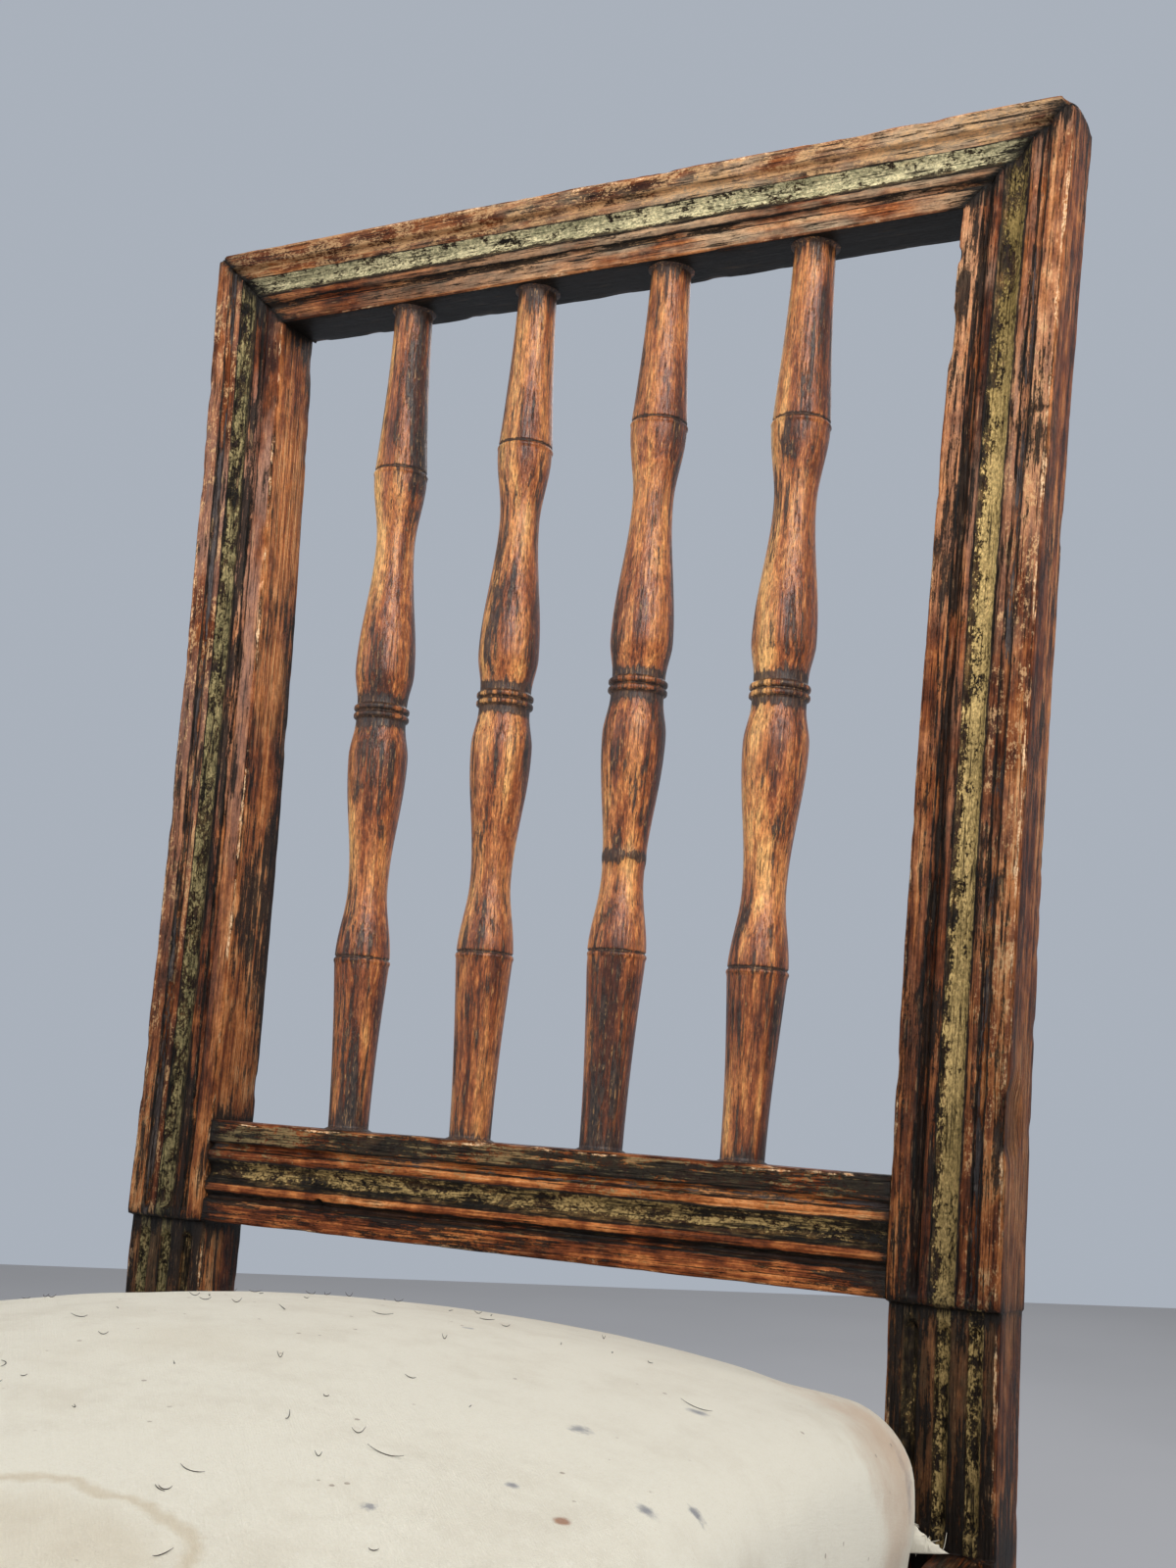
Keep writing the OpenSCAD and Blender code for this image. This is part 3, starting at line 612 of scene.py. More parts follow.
@dataclass(frozen=True)
class Wear:
    """How a timber member has worn: its chips, furrows, paint that still holds, and marks."""

    seed: int
    chip: float = 0.9
    swell: float = 0.22
    furrow: float = 0.12
    flake: float = 0.2
    marks: tuple[Mark, ...] = ()

    def apply(self, grid: Array, place: Array, face: Array, arris: Array, grime_and_shade: Array, tone: Array
              ) -> tuple[Array, dict[str, Array]]:
        """Moves a member's surface in and out along its normals and keeps what its finish reads.

        The move is slow swelling, plus furrows drawn out along the grain, plus the thickness of the paint
        where it holds, less chips that fade within two millimetres of an arris, less the marks.

        Args:
            grid: points by section, then round it.
            place: the same points straightened: across, along and depth.
            face: 1 on the moulded face.
            arris: distance to the nearest arris.
            grime_and_shade: 0 to 1 where dirt has gathered, and where shade is painted under the step and the
                crest rail.
            tone: 0 for blackened, 0.5 for red-brown and 1 for bare honey-coloured wood.

        Returns:
            The moved points, and the values by name.
        """
        face, arris, grime_and_shade, tone = (np.broadcast_to(v, grid.shape[:-1]) for v in (face, arris, grime_and_shade, tone))
        rag = Grain(self.seed).layered(place, (9, 15, 9), 3)
        paint = ease(Grain(self.seed + 7).layered(place, (5, 9, 5), 3, 0.6), -0.2, 0.12)
        edge = np.exp(-arris / 2.2)
        cut = ease(rag, 0.12, 0.55) * edge
        out = self.swell * Grain(self.seed + 3).layered(place, (45, 70, 45), 2)
        out = out + self.furrow * Grain(self.seed + 5).layered(place, (2.4, 50, 2.4), 2)
        out = out + self.flake * (paint - 0.5) * face - self.chip * cut
        out = out - 0.35 * edge * ease(rag, -0.6, 0.2)
        bare = 0.75 * cut
        for mark in self.marks:
            share = mark.share(place, rag)
            out = out - mark.sunk * share
            bare = np.maximum(bare, mark.bare * share)
            grime_and_shade = np.maximum(grime_and_shade, mark.dark * share)
        ends = np.minimum(np.arange(len(grid)), np.arange(len(grid))[::-1])
        out = out * np.clip(ends / 3, 0, 1)[:, None]
        moved = grid + normals_of(grid) * out[..., None] * self._side(grid)
        # The wear triple holds arris closeness, dirt with painted shade, and paint that holds.
        worn = joined(edge, np.clip(grime_and_shade, 0, 1), paint)
        return moved, {"straight": place * MM, "wear": worn, "face": face, "bare": bare, "tone": tone}

    @staticmethod
    def _side(grid: Array) -> float:
        """1 if the grid's normals point outwards and -1 if they point in, from its first section."""
        middle = grid.mean(axis=1, keepdims=True)
        outward = ((grid - middle) * normals_of(grid)).sum()
        return 1.0 if outward > 0 else -1.0


@dataclass(frozen=True)
class Moulding:
    """The moulded face: flat, groove, bead, hollow, bead, groove, flat, set out from its middle."""

    cove: float = 5.0
    cove_depth: float = 3.0
    bead: float = 9.0
    groove: float = 12.4
    groove_depth: float = 2.8

    def depth(self, middle: Array) -> Array:
        """Depth below the flats: a round hollow, half-round beads 1 mm low at their sides, steep grooves.

        Args:
            middle: distance across from the middle of the face.

        Returns:
            The depth at each place.
        """
        off = np.abs(middle)
        hollow = self.cove_depth * np.clip(1 - np.square(off / (self.cove - 0.25)), 0, 1)
        half = (self.bead - self.cove) / 2
        bead = np.square((off - self.cove - half) / half)
        knots = np.array([0, 0.5, 1.2, 2.0, 2.6, 3.0, 3.3, 3.7]) + self.bead
        depths = np.array([1.0, 1.8, 2.55, self.groove_depth, 2.2, 1.0, 0.25, 0.0])
        groove = np.interp(off, knots, depths)
        return np.where(off < self.cove, hollow, np.where(off < self.bead, bead, groove))


@dataclass(frozen=True)
class Section:
    """Points round a four-sided member: shares of its width and depth, with offsets in millimetres."""

    width: float
    arris: float = 1.3
    side_steps: int = 11
    back_steps: int = 9

    def columns(self) -> tuple[Array, Array, Array, Array, Array, Array, Array]:
        """Goes round the face, the inner side, the back and the outer side, with a rounded arris between.

        Returns:
            Share and offset across, share and offset in depth, 1 on the face, distance from the face's
            middle there, and the number of the side from 0 for the face to 3 for the outer side.
        """
        r, half = self.arris, self.width / 2
        fine = spaced(0, 13, 0.45)
        coarse = spaced(13, half - r, 1.1)[1:]
        right = np.concatenate([fine, coarse])
        face = np.concatenate([-right[::-1], right[1:]])
        turn = np.radians([22.5, 45, 67.5])
        side = np.linspace(0, 1, self.side_steps)
        back = np.linspace(1, 0, self.back_steps)
        one = np.ones_like
        across = [(0.5 * one(face), face), (one(turn), -r + r * np.sin(turn)), (one(side), 0 * side),
                  (one(turn), -r + r * np.cos(turn)), (back, r * (1 - 2 * back)),
                  (0 * turn, r - r * np.sin(turn)), (0 * side, 0 * side), (0 * turn, r - r * np.cos(turn))]
        deep = [(0 * face, 0 * face), (0 * turn, r - r * np.cos(turn)), (side, r * (1 - 2 * side)),
                (one(turn), -r + r * np.sin(turn)), (one(back), 0 * back), (one(turn), -r + r * np.cos(turn)),
                (side[::-1], r * (1 - 2 * side[::-1])), (0 * turn, r - r * np.sin(turn))]
        number = [0, 0, 1, 1, 2, 3, 3, 3]
        on_face = [one(face)] + [0 * a[0] for a in across[1:]]
        middle = [face] + [0 * a[0] for a in across[1:]]
        sides = [n + 0 * a[0] for n, a in zip(number, across)]
        join = np.concatenate
        return (join([a[0] for a in across]), join([a[1] for a in across]), join([d[0] for d in deep]),
                join([d[1] for d in deep]), join(on_face), join(middle), join(sides))


def arris_distance(across: Array, width: Array | float, deep: Array, front: Array | float, back: Array | float
                   ) -> Array:
    """The greater of the distances to the nearest side and to the face or back: that to the nearest arris."""
    side = np.minimum(across, width - across)
    face = np.minimum(deep - front, back - deep)
    return np.maximum(np.maximum(side, face), 0)


@dataclass(frozen=True)
class SideTones:
    """How bare or blackened each side of a member is: 0 black, 0.5 red-brown, 1 honey; below 0 adds painted
    shade.
    """

    face: float
    inner: float
    back: float
    outer: float

    def of(self, side: Array) -> Array:
        """The tone of each column by its side's number."""
        return np.array([self.face, self.inner, self.back, self.outer])[side.astype(int)]


@dataclass
class BackPost:
    """A back post in one piece: leg, fluted stretch and moulded stretch up to the mitre."""

    hand: Hand
    tones: SideTones
    wear: Wear
    moulding: Moulding = Moulding()
    flute_r: float = 2.8
    flute_pitch: float = 12.0
    flute_end: float = 9.0
    lip: float = 1.2
    shear_from: float = 400.0
    cove_stop: float = 3.5

    def stations(self) -> Array:
        """Heights of the sections up the post, 0 at the step, closer at the step, the rails and the mitre."""
        s = SIZES
        leg = spaced(-s.flute_h - s.seat_h, -s.flute_h - 1.5, 5.0)
        rail = -s.flute_h + np.array([-0.8, -0.4, -0.15, 0.15, 0.5, 1.0])
        flute = spaced(-s.flute_h + 2, -2.4, 1.4)
        step = np.array([-1.7, -1.2, -0.9, -0.6, -0.3, 0, 0.25, 0.6, 1.0, 1.5, 2.1, 2.8])
        upper = spaced(3.6, s.back_len - 2.6, 1.5)
        mitre = s.back_len - np.array([1.8, 1.2, 0.7, 0.35, 0.0])
        return np.concatenate([leg, rail, flute, step, upper, mitre])

    def carving(self, middle: Array, up: Array) -> Array:
        """Depth of the carving: the moulding, faded near its foot, or three round-ended flutes below it.

        Args:
            middle: distance across from the face's middle.
            up: height above the step.

        Returns:
            Depth below the face at each place.
        """
        fade = ease(up, 0.8, 6.5)
        stop = np.sqrt(np.clip(1 - np.square(np.clip((self.cove_stop + 5 - up) / 5, 0, 1)), 0, 1))
        in_cove = np.abs(middle) < self.moulding.cove
        moulded = self.moulding.depth(middle) * np.where(in_cove, stop * (up > self.cove_stop), fade)
        nearest = np.clip(np.round(middle / self.flute_pitch), -1, 1) * self.flute_pitch
        low, high = -SIZES.flute_h + self.flute_end, -self.flute_end
        beyond = np.maximum(low - up, up - high)
        reach = np.hypot(middle - nearest, np.maximum(beyond, 0))
        flute = np.sqrt(np.clip(self.flute_r**2 - np.square(reach), 0, None))
        return np.where(up > 0, moulded, flute * (beyond < self.flute_r))

    def place(self, a: Array, deep: Array, up: Array) -> Array:
        """Sets points on the post: on the slope above the step, on the bend beside the flutes, upright below.

        Args:
            a: distance from the outer edge's line.
            deep: distance behind the moulded face.
            up: height above the step, along the post.

        Returns:
            Points in the working frame.
        """
        s = SIZES
        above = s.on_slope(s.out_x(np.maximum(up, 0)) - a, deep, up)
        turn = s.rake * np.clip((up + s.flute_h) / s.flute_h, 0, 1)
        radius = s.bend_r + s.step_in - deep
        y_bend = s.ledge_in + s.bend_r - radius * np.cos(turn)
        z_bend = s.seat_h + radius * np.sin(turn)
        z_leg = s.seat_h + up + s.flute_h
        low = np.clip(z_leg / s.rail_bottom, 0, 1)
        leg_d = s.back_foot_d + (s.low_d + s.ledge_in - s.back_foot_d) * low
        thin = leg_d / (s.low_d + s.ledge_in)
        y_leg = s.splay * np.square(1 - low) + (deep - s.step_in + s.ledge_in) * thin
        narrow = 1 - (1 - s.back_foot_w / (s.post_w - 2 * s.side_in)) * (1 - low)
        a_leg = s.side_in + (a - s.side_in) * narrow
        on_leg = up < -s.flute_h
        x = s.half_w - np.where(on_leg, a_leg, a)
        y, z = np.where(on_leg, y_leg, y_bend), np.where(on_leg, z_leg, z_bend)
        return np.where((up > 0)[..., None], above, joined(x, y, z))

    def build(self, material: Material) -> bpy.types.Object:
        """Builds the post as one swept surface and dresses it.

        Args:
            material: the frame's aged paint.

        Returns:
            The post.
        """
        s = SIZES
        share, off, dshare, doff, face, middle, side = Section(s.post_w).columns()
        up = self.stations()[:, None] + 0 * share
        moulded = ease(up, -self.lip, 0)
        inset = s.side_in * (1 - moulded)
        front = s.step_in * (1 - moulded) - s.ledge_in * ease(up, -s.flute_h, -s.flute_h - 0.8)
        front = front + 0.5 * np.square(np.clip(1 - up / 2.2, 0, 1)) * (up >= 0)
        back = s.post_d - (s.post_d - s.post_top_d) * np.maximum(up, 0) / s.back_len - inset
        width = s.post_w - 2 * inset
        across = inset + share * width + off * width / s.post_w
        top = s.back_len - s.crest_h * across / s.post_w
        stretch = (top - self.shear_from) / (s.back_len - self.shear_from)
        sheared = self.shear_from + (up - self.shear_from) * stretch
        up = np.where(up > self.shear_from, sheared, up)
        deep = front + dshare * (back - front) + doff + face * self.carving(middle, up)
        grid = self.place(across, deep, up)
        grid = round_corner(grid, self.place(across, 0 * deep, up), CORNER_R[self.hand])
        to_mitre = np.abs(top - up)
        seam = near(to_mitre, 0.9) * (up > self.shear_from)
        grid = grid + 0.5 * (seam * face)[..., None] * s.behind
        arris = arris_distance(across - inset, width, deep, front, back)
        place = joined(across - s.post_w / 2, up, deep)
        inner = 1.0 * (side == 1)
        # The band just under the step is a painted shadow; the rest is dirt at the mitre, the rails and the
        # seat rail.
        grime_and_shade = 0.9 * seam + 0.8 * near(up + 1, 3.5) + 0.7 * inner * (near(up - s.lower_h, 3) + near(up, 4))
        grime_and_shade = grime_and_shade + 0.85 * near(to_mitre, 9) * (up > s.crest_z) + 0.6 * near(up + s.flute_h, 8)
        # The inner side darkens towards its back and, as painted shade with some dirt, just under the crest
        # rail.
        under_crest = 0.8 * ease(up, s.crest_z - 30, s.crest_z)
        grime_and_shade = grime_and_shade + inner * np.maximum(0.55 * ease(deep, 0.55 * back, back), under_crest)
        painted = face * ease(up, -s.flute_h - 0.5, -s.flute_h + 0.5)
        grid, values = self.wear.apply(grid, place, painted, arris, grime_and_shade, self.tones.of(side))
        grid[..., 0] *= self.hand.value
        side_name = self.hand.name.lower()
        made = closed_bar(f"back_post_{side_name}", grid).build(values)
        return place_piece(made, material, "painted_frame", f"rear_post_{side_name}")


def round_corner(grid: Array, face_line: Array, r: float) -> Array:
    """Draws what stands outside the frame's rounded top corners in to their radius, more so at the back.

    Args:
        grid: points in the working frame.
        face_line: the same points brought forward to the moulded face's plane.
        r: the corner's radius.

    Returns:
        The points, each outside one moved straight towards the corner's centre.
    """
    s = SIZES
    behind, over = face_line[..., 1] - s.tilt[0], face_line[..., 2] - s.tilt[1]
    up = over * math.cos(s.rake) + behind * math.sin(s.rake)
    deep = np.linalg.norm(grid - face_line, axis=-1)
    dx = np.maximum(np.abs(face_line[..., 0]) - float(s.out_x(s.back_len)) + r, 0)
    dz = np.maximum(up - s.back_len + r, 0)
    dy = np.maximum(deep - s.post_top_d + s.worn_corner, 0) - np.maximum(r - deep, 0)
    dy = dy * ease(np.minimum(dx, dz), 0, r / 2)
    pull = past(np.sqrt(dx**2 + dy**2 + dz**2), r) * ((dx > 0) & (dz > 0))
    away = joined(np.sign(face_line[..., 0]) * dx, dy * math.cos(s.rake) + dz * math.sin(s.rake),
                  dz * math.cos(s.rake) - dy * math.sin(s.rake))
    return grid - pull[..., None] * away


@dataclass
class MouldedBar:
    """A moulded rail across the back: the mitred crest rail or the butted lower rail."""

    name: str
    node: str
    height: float
    depth: float
    top: float
    mitred: bool
    tones: SideTones
    wear: Wear
    moulding: Moulding = Moulding()

    def half_at(self, share: Array) -> Array:
        """Half the bar's length at a share of the way down its face: a straight mitre, or an even butt."""
        s = SIZES
        if self.mitred:
            return s.out_x(s.back_len) + share * (s.in_x(s.crest_z) - s.out_x(s.back_len))
        return s.in_x(self.top * (1 - share)) + 0.2

    def build(self, material: Material, spindle_x: Sequence[float]) -> bpy.types.Object:
        """Builds the bar as one surface swept across the chair and dresses it.

        Args:
            material: the frame's aged paint.
            spindle_x: where the spindles meet it.

        Returns:
            The bar.
        """
        s = SIZES
        share, off, dshare, doff, face, middle, side = Section(self.height, back_steps=15).columns()
        reach = 1 - np.array([0, 0.35, 0.7, 1.2, 1.8]) / s.half_w
        inner = spaced(0, float(reach[-1]) - 0.008, 1.5 / s.half_w)
        half = np.concatenate([inner, reach[::-1]])
        along = np.concatenate([-half[::-1], half[1:]])[:, None] + 0 * share
        down = share * self.height + off
        long = self.half_at(down / self.height)
        x = along * long
        deep = dshare * self.depth + doff + face * self.moulding.depth(middle)
        up = self.top - down
        grid = s.on_slope(x, deep, up)
        for hand in Hand:
            mine = np.sign(x) == hand.value
            rounded = round_corner(grid, s.on_slope(x, 0 * deep, up), CORNER_R[hand])
            grid = np.where(mine[..., None], rounded, grid)
        to_end = long - np.abs(x)
        seam = near(to_end, 0.9)
        grid = grid + 0.5 * (seam * face)[..., None] * s.behind
        foot = sum(near(np.maximum(np.hypot(x - k, deep - self.depth / 2) - 8, 0), 5) for k in spindle_x)
        meets = 1.0 * (side == (1 if self.mitred else 3))
        # On the crest rail the whole underside is darkened: partly dirt and partly painted shade under the
        # rail.
        grime_and_shade = 0.9 * seam + 0.8 * foot * meets + 0.85 * near(to_end, 9) + 0.8 * self.mitred * (side == 1)
        arris = arris_distance(down, self.height, deep, 0, self.depth)
        place = joined(down - self.height / 2, x + s.front_w / 2, deep)
        grid, values = self.wear.apply(grid, place, face, arris, grime_and_shade, self.tones.of(side))
        made = closed_bar(self.name, grid).build(values)
        return place_piece(made, material, "painted_frame", self.node)


@dataclass
class Spindle:
    """A turned spindle, leaning as the posts do; its two rings and double bead were cut by eye."""

    order: int
    name: str
    low_ring: float
    low_bead: float
    high_bead: float
    high_ring: float
    wear_seed: int
    band_at: float = -99.0
    end_d: float = 17.2
    ring_d: float = 24.0
    waist_d: float = 17.3
    bulge_d: float = 26.2
    bead_d: float = 24.6
    waist_from_ring: float = 33.0
    bulge_from_bead: float = 16.0
    back: float = 13.0
    draw_in: float = 2.6
    columns: int = 64
    sunk: float = 1.5
    ridge_at: float = 1.75
    ridge_half: float = 1.35
    scribe_at: float = 1.6

    def foot_x(self) -> float:
        """Where the spindle stands on the lower rail."""
        return (self.order - 1.5) * 2 * (float(SIZES.in_x(SIZES.lower_h)) - self.draw_in) / 5

    def head_x(self) -> float:
        """Where the spindle meets the crest rail."""
        return (self.order - 1.5) * 2 * float(SIZES.in_x(SIZES.crest_z)) / 5

    def ridges(self, z: Array) -> Array:
        """1 on the two ridges of the double bead and 0 beside them."""
        off = np.abs(z - (self.low_bead + self.high_bead) / 2)
        return np.exp(-(((off - self.ridge_at) / self.ridge_half) ** 4))

    def radius(self, z: Array, length: float) -> Array:
        """The turned outline, half of each diameter.

        From each end the line flares as a power of 1.6 to a ring, falls by half a cosine wave to a waist,
        swells by half a cosine wave beside the double bead, and dips to it. The bead is two round ridges.

        Args:
            z: heights above the lower rail.
            length: height of the crest rail above the lower rail.

        Returns:
            The radius at each height.
        """
        low = [0, self.low_ring, self.low_ring + self.waist_from_ring,
               self.low_bead - self.bulge_from_bead, self.low_bead]
        high = [length, self.high_ring, self.high_ring - self.waist_from_ring,
                self.high_bead + self.bulge_from_bead, self.high_bead]
        widths = [self.end_d, self.ring_d, self.waist_d, self.bulge_d, self.bead_d - 2.6]
        centre = (self.low_bead + self.high_bead) / 2
        out = np.full_like(z, widths[-1])
        for marks, mine in ((low, z <= centre), (high, z > centre)):
            for k in range(4):
                part = np.clip((z - marks[k]) / (marks[k + 1] - marks[k]), 0, 1)
                blend = part**1.6 if k == 0 else (1 - np.cos(np.pi * part)) / 2
                inside = mine & ((z - marks[k]) * (marks[k + 1] - marks[k]) >= 0)
                out = np.where(inside, widths[k] + (widths[k + 1] - widths[k]) * blend, out)
        on_bead = (z >= self.low_bead) & (z <= self.high_bead)
        out = np.where(on_bead, widths[-1] + self.ridges(z) * (self.bead_d - widths[-1]), out)
        for ring in (self.low_ring, self.high_ring):
            away = z - ring
            out = out + 0.7 * swell(away, 0.9) - 1.1 * swell(away - self.scribe_at, 0.45)
        return out / 2

    def build(self, material: Material) -> bpy.types.Object:
        """Turns the spindle, wears it and dresses it.

        Args:
            material: the turned timber.

        Returns:
            The spindle.
        """
        s = SIZES
        length = s.crest_z - s.lower_h
        sharp = [ring + np.arange(-3.2, 3.4, 0.4) for ring in (self.low_ring, self.high_ring)]
        sharp.append(np.arange(self.low_bead - 3, self.high_bead + 3, 0.4))
        z = np.unique(np.round(np.concatenate([spaced(-self.sunk, length + self.sunk, 1.15), *sharp]), 1))
        angle = np.linspace(0, 2 * math.pi, self.columns, endpoint=False)
        zz, aa = np.meshgrid(z, angle, indexing="ij")
        r = self.radius(zz, length)
        local, seed = joined(r * np.cos(aa), zz, r * np.sin(aa)), self.wear_seed
        r = r + 0.22 * Grain(seed).layered(local, (14, 60, 14), 2)
        r = r + 0.09 * Grain(seed + 2).at(local, (2, 30, 2))
        rag = Grain(seed + 4).layered(local, (6, 14, 6), 3)
        crest = sum(near(zz - ring, 1.5) for ring in (self.low_ring, self.high_ring))
        band = swell(zz - self.band_at - 2.5 * rag, 2.6)
        r = r - 0.7 * crest * ease(rag, 0.15, 0.5) + 0.35 * band
        x = self.foot_x() + (self.head_x() - self.foot_x()) * zz / length + r * np.cos(aa)
        grid = s.on_slope(x, self.back + r * np.sin(aa), s.lower_h + zz)
        to_waist = self.waist_from_ring + 4
        waist = swell(zz - self.low_ring - to_waist, 22) + swell(zz - self.high_ring + to_waist, 22)
        ends = near(zz, 4) + near(zz - length, 7)
        scribe = sum(swell(zz - ring - self.scribe_at, 0.6) for ring in (self.low_ring, self.high_ring))
        beads = ease(np.abs(zz - (self.low_bead + self.high_bead) / 2), 9.0, 4.5)
        dark = 0.75 * ends + scribe + beads * (0.95 - 0.6 * self.ridges(zz)) + band * ease(rag, -0.5, 0.1)
        # low_end is 1 below the lower ring, where the finish darkens the spindle, partly as painted shade.
        low_end = ease(zz, self.low_ring + 8, self.low_ring - 20)
        values = {"straight": local * MM, "zones": joined(waist, np.clip(dark, 0, 1), low_end)}
        made = closed_bar(f"turned_spindle_{self.name}", grid).build(values)
        return place_piece(made, material, "spindle_wood", f"spindle_{self.name}")


Bands = tuple[float, float, float, float, float, float, float]


@dataclass(frozen=True)
class AgedPaint:
    """Old paint and varnish over birch: gold or olive in the hollow, black in the grooves, worn arrises.

    Values by band run from the outer flat over groove, bead, hollow, bead and groove to the inner flat.
    """

    name: str
    cove_pale: Colour = (0.62, 0.47, 0.22)
    cove_deep: Colour = (0.26, 0.17, 0.06)
    shift: float = 0.0
    black: Bands = (0.0, 0.22, 0.02, -0.06, 0.04, 0.24, 0.0)
    held: Bands = (0.0, 0.10, 0.12, 0.30, 0.08, 0.10, 0.0)
    # foot and head scale the colour from the start of reach to its end: on the posts darker low down, partly
    # painted shade and partly darker varnish and dirt.
    foot: float = 0.8
    head: float = 1.25
    reach: tuple[float, float] = (-0.02, 0.36)
    dust: float = 0.0
    gilt_to: float = 9.0
    sides: float = 0.05
    edge: float = 0.25
    deep: Colour = (0.034, 0.008, 0.003)
    red: Colour = (0.20, 0.050, 0.013)
    honey: Colour = (0.50, 0.175, 0.050)
    pale: Colour = (0.78, 0.42, 0.19)
    soot: Colour = (0.008, 0.007, 0.006)
    grey: Colour = (0.075, 0.075, 0.082)
    tan: Colour = (0.55, 0.33, 0.16)
    rubbed: Colour = (0.90, 0.62, 0.37)
    settled: Colour = (0.66, 0.47, 0.33)
    olive: Colour = (0.11, 0.070, 0.032)
    scuffs: tuple[Colour, Colour] = ((0.06, 0.045, 0.02), (0.20, 0.11, 0.04))
    lines: tuple[float, ...] = (-12.6, -9.0, -5.0, 5.0, 9.0, 12.6)
    line_w: float = 0.7
    soft: float = 0.25
    span: float = 50.0
    flute_pitch: float = 0.012

    def lookup(self, r: Recipe, across: Value, stops: Sequence[tuple[float, float]]) -> Value:
        """Reads a level from 0 to 1 off stops that are set out across the face, in millimetres."""
        where = across * (1 / (self.span * MM)) + 0.5
        marks = [(place / self.span + 0.5, (level,) * 3) for place, level in stops]
        return r.parts(where.ramp(*marks))[0]

    def by_band(self, r: Recipe, across: Value, values: Bands) -> Value:
        """Looks a value from -1 to 1 up by band, with quick changes at the bands' edges.

        Args:
            r: the material's recipe.
            across: the distance across the face, in metres.
            values: the value of each band.

        Returns:
            The value at each place.
        """
        m, far = Moulding(), self.span / 2
        edges = (-m.groove, -m.bead, -m.cove, m.cove, m.bead, m.groove)
        starts = (-far, *(edge + self.soft for edge in edges))
        ends = (*(edge - self.soft for edge in edges), far)
        bands = zip(starts, ends, values)
        stops = [(place, 0.5 + value / 2) for low, high, value in bands for place in (low, high)]
        return self.lookup(r, across, stops) * 2.0 - 1.0

    def quirks(self, r: Recipe, across: Value) -> Value:
        """1 along the narrow lines between the mouldings, where dirt packs, and 0 elsewhere."""
        shape = ((-self.line_w, 0.0), (0.0, 1.0), (self.line_w, 0.0))
        return self.lookup(r, across, [(line + off, level) for line in self.lines for off, level in shape])

    def wood(self, r: Recipe, place: Value, tone: Value, cloud: Value, fibre: Value) -> Value:
        """Grained wood under its varnish: fine fibres and broad figure through four colours, by tone.

        Args:
            r: the material's recipe.
            place: the place on the straightened member.
            tone: 0 for blackened wood and 1 for bare wood.
            cloud: slow changes of tone.
            fibre: the fine grain.

        Returns:
            The colour.
        """
        figure = r.noise(place, (150, 7, 150), 5, 0.6, self.shift + 3, 0.5)
        blotch = r.noise(place, (110, 70, 110), 5, 0.66, self.shift + 37)
        level = fibre * 0.55 + figure + cloud * 0.6 + blotch * 0.7 - 0.985 + (tone - 0.5) * 0.3
        return level.ramp((0.24, self.deep), (0.42, self.red), (0.58, self.honey), (0.78, self.pale))

    def build(self) -> Material:
        """Lays wood, band colours, black residue, rubbed arrises, cracks, dirt and painted shade over one
        another, then scales the colour from foot to head along the member.

        Returns:
            The material, whose patterns all follow the straightened member, so that the grain runs along it.
        """
        r = Recipe(self.name)
        place = r.kept("straight", "Vector")
        face, bare, tone = r.kept("face"), r.kept("bare"), r.kept("tone")
        arris, grime_and_shade, paint = r.parts(r.kept("wear", "Vector"))
        flat_across, along, _ = r.parts(place)
        wander = r.noise(place, (500, 90, 500), 4, 0.65, self.shift)
        across = flat_across + (wander - 0.5) * 0.0016

        fibre = r.noise(place, (1500, 20, 1500), 6, 0.62, self.shift)
        cloud = r.noise(place, (42, 16, 42), 5, 0.62, self.shift + 9)
        streak = r.noise(place, (500, 36, 500), 7, 0.68, self.shift + 17)
        speck = r.noise(place, (1100, 600, 1100), 5, 0.75, self.shift + 5)
        flake = r.noise(place, (260, 130, 260), 7, 0.72, self.shift + 29)
        crack = r.noise(place, (1700, 45, 1700), 5, 0.68, self.shift + 41)

        along_share = along.step(*self.reach)
        dusty = along_share * self.dust * cloud.step(0.36, 0.6) * (face * 0.8 + 0.2)
        colour = r.mix(dusty, self.wood(r, place, tone, cloud, fibre), self.settled)
        fluted = along.step(0.0006, -0.0006) * face
        half_pitch = self.flute_pitch / 2
        above_zero = flat_across + 2 * self.flute_pitch
        to_flute = r.take("ShaderNodeMath", above_zero, half_pitch, operation="PINGPONG")
        in_flute = to_flute.step(0.0032, 0.0024) * fluted
        colour = r.mix(fluted * 0.55, colour, self.olive)
        moulded = (1.0 - fluted) * face
        cove = across.band(-0.0048, 0.0048, 0.0003) * moulded
        hollow = cove.greatest(in_flute)

        held = self.by_band(r, across, self.held) * moulded + in_flute * 0.2
        held = held - across.step(0.0012, 0.0042) * 0.30
        held = held + (paint - 0.5) * 0.16 + (flake - 0.5) * 1.1 + (speck - 0.5) * 1.3
        held = held - along.step(self.gilt_to, self.gilt_to + 0.06, 0.13)
        gilt = held.step(0.10, 0.17) * hollow
        worn_paint = held.step(0.12, 0.2, 0.8) * (moulded - cove)
        middle = tuple(0.45 * (a + b) for a, b in zip(self.cove_deep, self.cove_pale))
        fade = along.step(self.gilt_to - 0.05, self.gilt_to + 0.05, 0.10)
        shade = speck * 0.5 + cloud * 0.3 + streak * 0.2 - fade
        gold = shade.ramp((0.38, self.cove_deep), (0.49, middle), (0.58, self.cove_pale))
        under = flake.ramp((0.40, self.soot), (0.54, self.scuffs[0]), (0.64, self.scuffs[1]))
        colour = r.mix(hollow * 0.92, colour, under)
        colour = r.mix(worn_paint, colour, self.tan)
        colour = r.mix(gilt, colour, gold)

